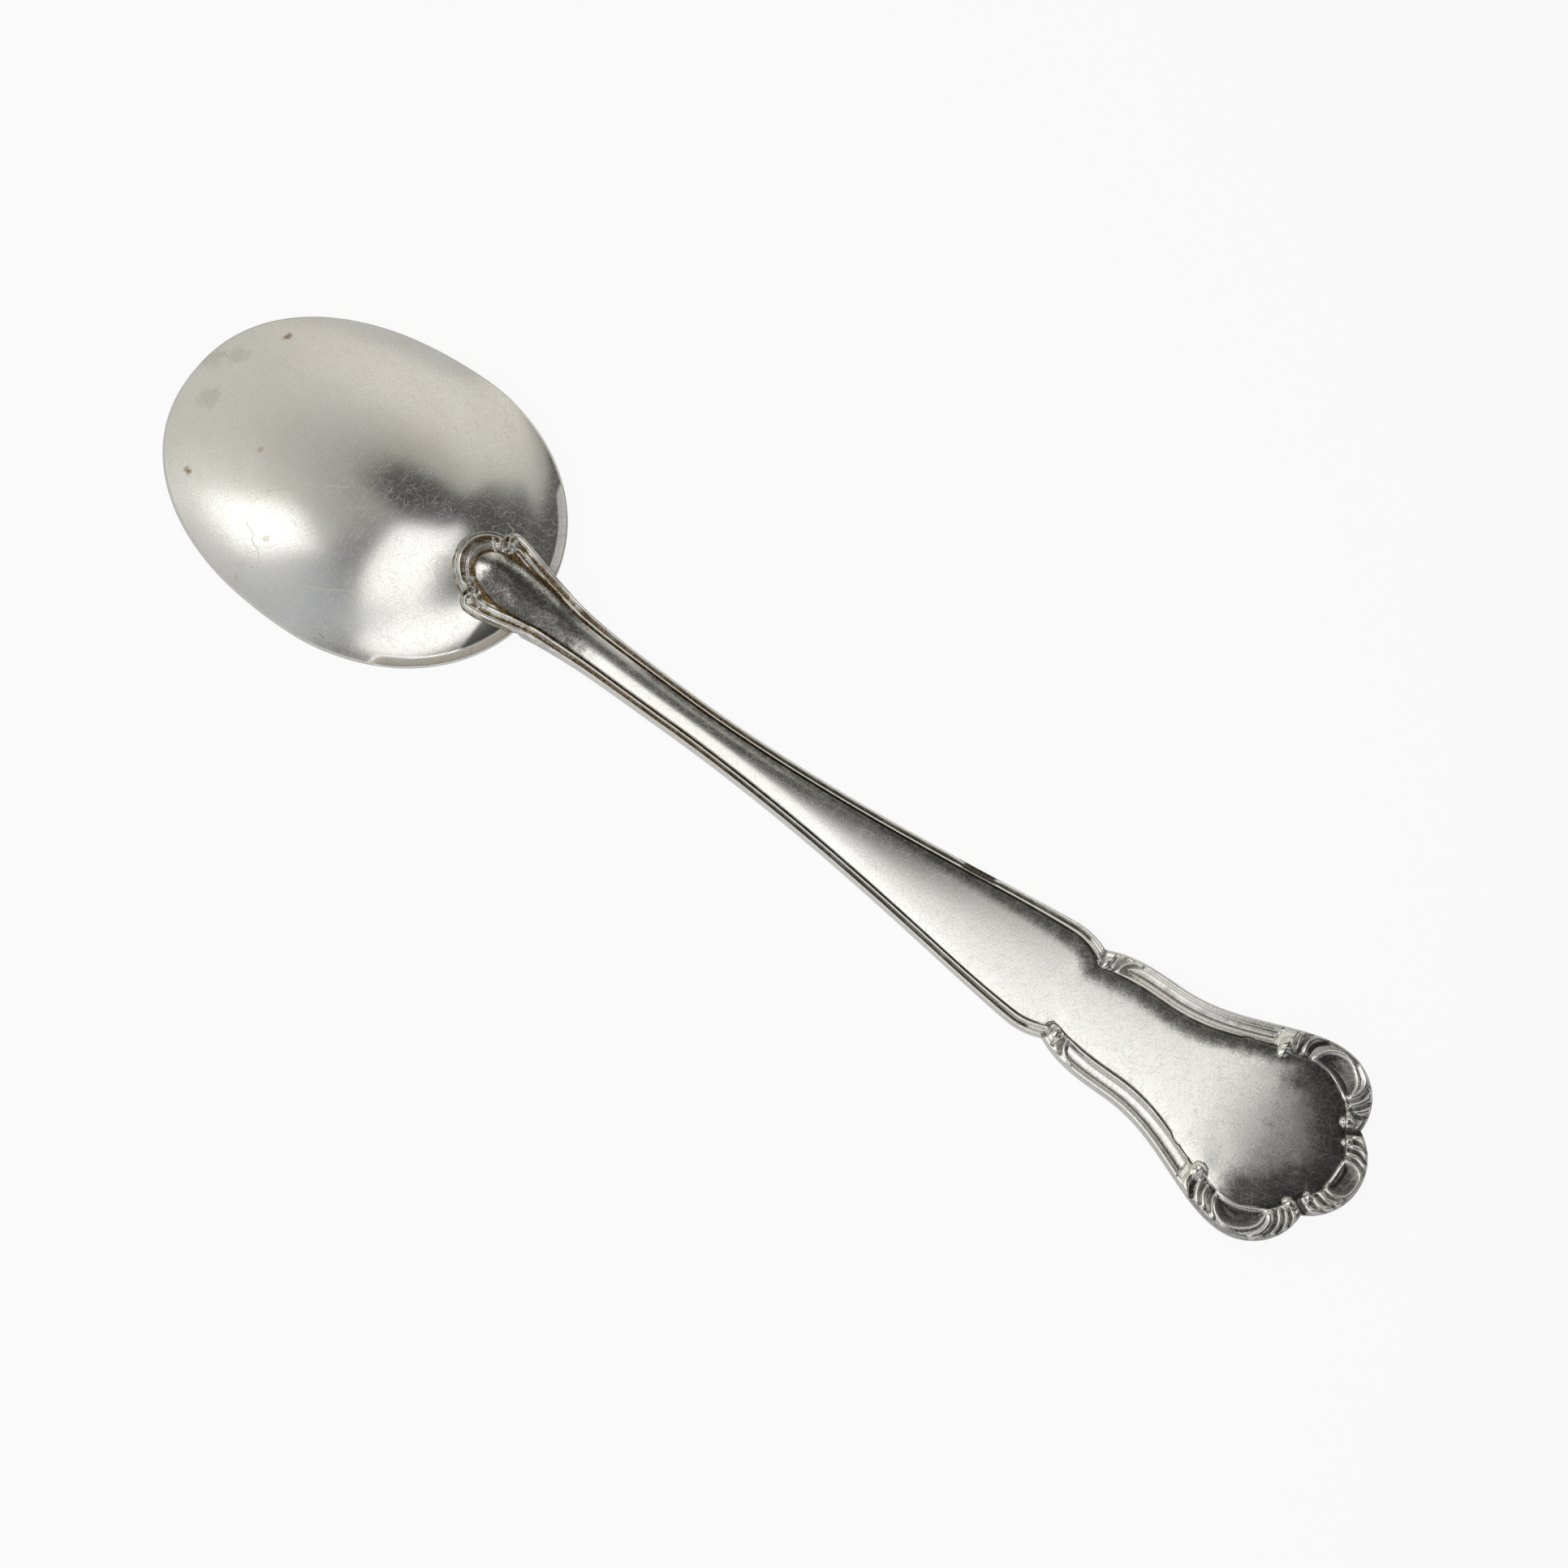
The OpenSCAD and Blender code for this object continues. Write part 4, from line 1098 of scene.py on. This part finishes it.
def bowl_silver():
    """Silver of the bowl: filed flats, near-white on the +Y side, which is partly a painted highlight for the
    lamp's reflection, and beige on the -Y side, a painted dark reflection beside the neck, long scratches,
    and spots of brown and grey."""
    silver = Silver("bowl silver")
    nodes = silver.nodes
    x = nodes.along(0)
    y = nodes.along(1)
    back = nodes.attribute("back")
    # Painted dark reflection on the back beside the neck, on the -Y side
    silver.stain(back * x.over(*REFLECTION_PATCH_X) * y.over(*REFLECTION_PATCH_Y) * 0.85, PAINTED_REFLECTION_DARK, 0.05)
    filed = nodes.attribute("filed")
    side = y.math("ABSOLUTE")
    stroke = nodes.add("ShaderNodeCombineXYZ", {}, {0: x * 0.4 + side * 0.45, 1: side * 3.6 - x * 4.1})
    stroke = nodes.noise(stroke, 1.0, 2.0, 0.7)
    # The filed flats turn matte and pale: near-white, partly a painted highlight for the lamp's reflection on
    # the +Y side, and beige on the -Y side
    silver.stain(filed, FILED_WHITE_AND_SHEEN, 0.0)
    silver.stain(filed * y.over(2.0, -2.0), FILED_BEIGE, 0.0)
    silver.stain(filed * stroke.over(0.5, 0.7) * 0.3, FILED_LINES, 0.0)
    silver.rough = silver.rough + filed * 0.3
    silver.metal = silver.metal - filed * 0.9
    silver.height = silver.height + filed * stroke * 4.0
    sway = nodes.cloud(0.5, 2.0, 0.5) - 0.5
    drawn = back * sum(scratch(nodes, x + sway * 1.2, y + sway * 1.6, *line) for line in SCRATCHES)
    silver.stain(drawn * 0.55, DRAWN_LINES, 0.1)
    silver.metal = silver.metal - drawn * 0.5
    silver.stain(spots(nodes, BROWN_SPOTS, 0.5) * 0.85, SPOT_BROWN, 0.2)
    silver.stain(spots(nodes, FAINT_SPOTS, 0.35) * 0.45, SPOT_FAINT, 0.1)
    silver.stain(spots(nodes, GREY_STAINS, 1.3) * 0.28, WATER_GREY, 0.1)
    flecks = nodes.cloud(2.4, 2.0, 0.6).over(0.64, 0.72) * spots(nodes, FLECKS, 2.2)
    silver.stain(flecks * 0.5, FLECK_BROWN, 0.1)
    return silver.finish()


def handle_silver():
    """Silver of the handle: brown in the recesses, golden at the heel, with grey tarnish and painted shade,
    and file marks.
    """
    silver = Silver("handle silver")
    nodes = silver.nodes
    patchy = nodes.cloud(0.9, 4.0, 0.65)
    x = nodes.along(0)
    heel = x.over(-17.0, -25.0)
    silver.stain(heel * patchy.over(0.42, 0.62) * 0.4, HEEL_FILM, 0.1)
    dirt = nodes.attribute("dirt") + (patchy - 0.5) * (0.5 + 1.2 * heel)
    pits = nodes.cloud(5.0, 3.0, 0.75)
    tarnish_and_shade = nodes.attribute("tarnish_and_shade") + (patchy - 0.5) * 0.5 + (pits - 0.5) * (0.5 + 0.7 * heel)
    # Grey over tarnish in hollows, on the ornament and the tongue, and painted shade along the +Y edge and on
    # the panel's end
    silver.stain(tarnish_and_shade.over(0.2, 0.85) * (0.9 - silver.fine * 0.12), TARNISH_AND_SHADE_GREY, 0.15)
    ochre = nodes.blend(pits.over(0.45, 0.65), OCHRE_DARK, OCHRE_LIGHT)
    brown = nodes.blend(x.over(-20.0, 10.0), ochre, DIRT_BROWN)
    silver.stain(dirt.over(0.25, 0.75), brown, 0.2)
    across = nodes.noise(nodes.place(scale=(6.5, 0.7, 0.7)), 1.0, 2.0, 0.7)
    chatter = nodes.attribute("chatter")
    silver.stain(chatter * across.over(0.45, 0.75) * 0.45, FILE_MARKS, 0.1)
    silver.height = silver.height + chatter * across * 3.0
    return silver.finish()


def dull_solder():
    material, nodes = new_material("tarnished solder")
    cloud = nodes.cloud(1.3, 3.0, 0.6)
    colour = nodes.blend(cloud.over(0.35, 0.65), SOLDER_DARK, SOLDER_LIGHT)
    nodes.principled({"Base Color": colour, "Metallic": 0.85, "Roughness": 0.35 + cloud * 0.2})
    return material


def dress():
    """Makes the three pieces, hides the part of model.glb that each replaces, and hangs each under the root
    body.
    """
    made = [(bowl(bowl_silver()), "bowl", "silver_bowl"),
            (handle(handle_silver()), "handle", "silver_handle"),
            (solder(dull_solder()), "solder_film", "solder")]
    for piece, node, slot in made:
        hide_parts(node)
        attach(piece, "root")


# The camera: tilt from straight down, turn about Z, its aim, and the pixels that a millimetre takes there
IMAGE_PX = 1932
FOCAL_PX = 6000
SENSOR = 36.0
TILT = np.radians(15.0)
TURN = np.radians(36.2618)
AIM = Vector((2.3216, 0.6368, 0.0)) * MM
PX_PER_MM = 12.6789
DISTANCE = FOCAL_PX / PX_PER_MM * MM


def camera():
    data = bpy.data.cameras.new("camera")
    data.sensor_width = SENSOR
    data.lens = FOCAL_PX / IMAGE_PX * SENSOR
    data.clip_start, data.clip_end = 0.01, 10
    eye = bpy.data.objects.new("camera", data)
    back = Vector((np.sin(TURN) * np.sin(TILT), -np.cos(TURN) * np.sin(TILT), np.cos(TILT)))
    right = Vector((np.cos(TURN), np.sin(TURN), 0))
    up = back.cross(right)
    turn = Matrix((right, up, back)).transposed().to_4x4()
    eye.matrix_world = Matrix.Translation(AIM + back * DISTANCE) @ turn
    bpy.context.scene.collection.objects.link(eye)
    bpy.context.scene.camera = eye


# The studio: height and corners of the table, and of the overhead lamp and the black cards beside it
TABLE = [(-1500, -1500), (1500, -1500), (1500, 1500), (-1500, 1500)]
TABLE_Z = -0.02
LAMP_Z = 100
LAMP = [(-47, -8), (-10, 11), (8, 19), (18, 27), (27, 44), (46, 47), (50, 38), (55, -34), (59, -88),
        (-14, -116), (-34, -84), (-43, -50)]
SHADES = {
    "black card behind": [(-97, 12), (-97, 46), (-60, 60), (0, 78), (26, 108), (40, 185), (130, 185),
                          (112, 52), (47, 48), (26, 45), (17, 28), (8, 20), (-10, 12), (-40, 2)],
    "black card at the right": [(60, -120), (60, -88), (56, -34), (51, 38), (48, 47), (170, 51), (170, -120)],
}
# The soft lamp in front at the left: its place, sides and brightness
LEFT_LAMP = (-552, -430, 475)
LEFT_LAMP_SIZE = (260, 380)
LEFT_LAMP_RADIANCE = 1.2
# Glows in the room: strength, direction, and the cosines of the angle from it where each starts and is full
ROOM_GLOWS = [(0.15, (-0.35, 0.93, 0.1), 0.7, 1.0), (0.12, LEFT_LAMP, 0.8, 0.98),
              (0.35, (0.62, -0.76, 0.2), 0.7, 0.97)]
COOL_ROOM = (0.94, 0.97, 1.0)
WARM_ROOM = (1.0, 0.98, 0.905)
ROOM_SEEN = 0.95


def softbox(name, place, size, radiance):
    """A rectangular lamp of an even brightness that faces the bowl, in millimetres."""
    data = bpy.data.lights.new(name, "AREA")
    data.shape = "RECTANGLE"
    data.size, data.size_y = (side * MM for side in size)
    data.energy = radiance * np.pi * data.size * data.size_y
    lamp = bpy.data.objects.new(name, data)
    lamp.location = Vector(place) * MM
    facing = (Vector((BOWL_X, 0, 0)) - Vector(place)).to_track_quat("-Z", "Y")
    lamp.rotation_euler = facing.to_euler()
    lamp.visible_camera = False
    bpy.context.scene.collection.objects.link(lamp)


def card(name, corners, z, material):
    """A flat card at a height, from its corners in millimetres. It stages the spoon and isn't part of it."""
    mesh = bpy.data.meshes.new(name)
    places = [tuple(Vector((*corner, z)) * MM) for corner in corners]
    mesh.from_pydata(places, [], [tuple(range(len(corners)))])
    mesh.materials.append(material)
    piece = bpy.data.objects.new(name, mesh)
    bpy.context.scene.collection.objects.link(piece)
    return piece


def white_paint():
    """White table: it glows enough to look white to the camera, and still takes the spoon's shadow."""
    material, nodes = new_material("white table")
    paint = nodes.add("ShaderNodeBsdfDiffuse", {}, {"Color": (0.9, 0.9, 0.9, 1)})
    glow = nodes.add("ShaderNodeEmission", {}, {"Color": (1, 1, 1, 1), "Strength": 1.0})
    camera_ray, glossy_ray, transmission_ray = [
        nodes.add("ShaderNodeLightPath", output=kind)
        for kind in ("Is Camera Ray", "Is Glossy Ray", "Is Transmission Ray")]
    share = camera_ray * 0.92 + (glossy_ray + transmission_ray) * 0.2
    nodes.surface(nodes.add("ShaderNodeMixShader", {}, {0: share, 1: paint, 2: glow}))
    return material


def black_cloth():
    material, nodes = new_material("black cloth")
    nodes.principled({"Base Color": (0.03, 0.03, 0.035, 1), "Roughness": 0.9,
                      "Emission Color": (1, 1, 1, 1), "Emission Strength": 0.02})
    return material


def lamp_white():
    """Glow of the overhead lamp's panel, which is weaker towards the bowl and towards the back."""
    material, nodes = new_material("lamp white")
    x = nodes.along(0)
    y = nodes.along(1)
    glow = nodes.blend(0.2 * x.over(10, -60) + 0.35 * y.over(-20, 50), (1, 1, 0.98), (0.6, 0.6, 0.59))
    nodes.principled({"Base Color": (0, 0, 0, 1), "Emission Color": glow, "Emission Strength": 1.3})
    return material


def studio():
    """The table, lamps and cards, and a room that is brighter at the left and low, white to the camera."""
    scene = bpy.context.scene
    scene.world = bpy.data.worlds.new("studio")
    scene.world.use_nodes = True
    nodes = Nodes(scene.world.node_tree)
    way = nodes.add("ShaderNodeTexCoord", output="Generated")

    def toward(axis, low, high):
        """Eases from 0 to 1 as the cosine of the angle between a ray and the axis goes from low to high."""
        ends = {0: way, 1: tuple(Vector(axis).normalized())}
        return nodes.add("ShaderNodeVectorMath", {"operation": "DOT_PRODUCT"}, ends, output=1).over(low, high)

    left = toward((-0.76, 0.65, 0), -0.35, 0.35)
    side = left.math("MAXIMUM", toward((-0.3, -0.95, 0), 0.3, 0.9) * 0.75)
    room = 0.1 + side * (0.25 + 0.26 * toward((0, 0, 1), 0.95, 0.4))
    for strength, *glow in ROOM_GLOWS:
        room = room + strength * toward(*glow)
    seen = nodes.add("ShaderNodeLightPath", output="Is Camera Ray")
    tint = nodes.blend(seen, nodes.blend(left, COOL_ROOM, WARM_ROOM), (1, 1, 1))
    strength = room * (1 - seen) + seen * ROOM_SEEN
    light = nodes.add("ShaderNodeBackground", {}, {"Color": tint, "Strength": strength})
    nodes.add("ShaderNodeOutputWorld", {}, {"Surface": light})
    scene.view_settings.view_transform = "Standard"

    card("table", TABLE, TABLE_Z, white_paint())
    black = black_cloth()
    for name, corners in SHADES.items():
        card(name, corners, LAMP_Z, black).visible_camera = False
    card("overhead lamp", LAMP, LAMP_Z, lamp_white()).visible_camera = False
    softbox("left front", LEFT_LAMP, LEFT_LAMP_SIZE, LEFT_LAMP_RADIANCE)


dress()
camera()
studio()
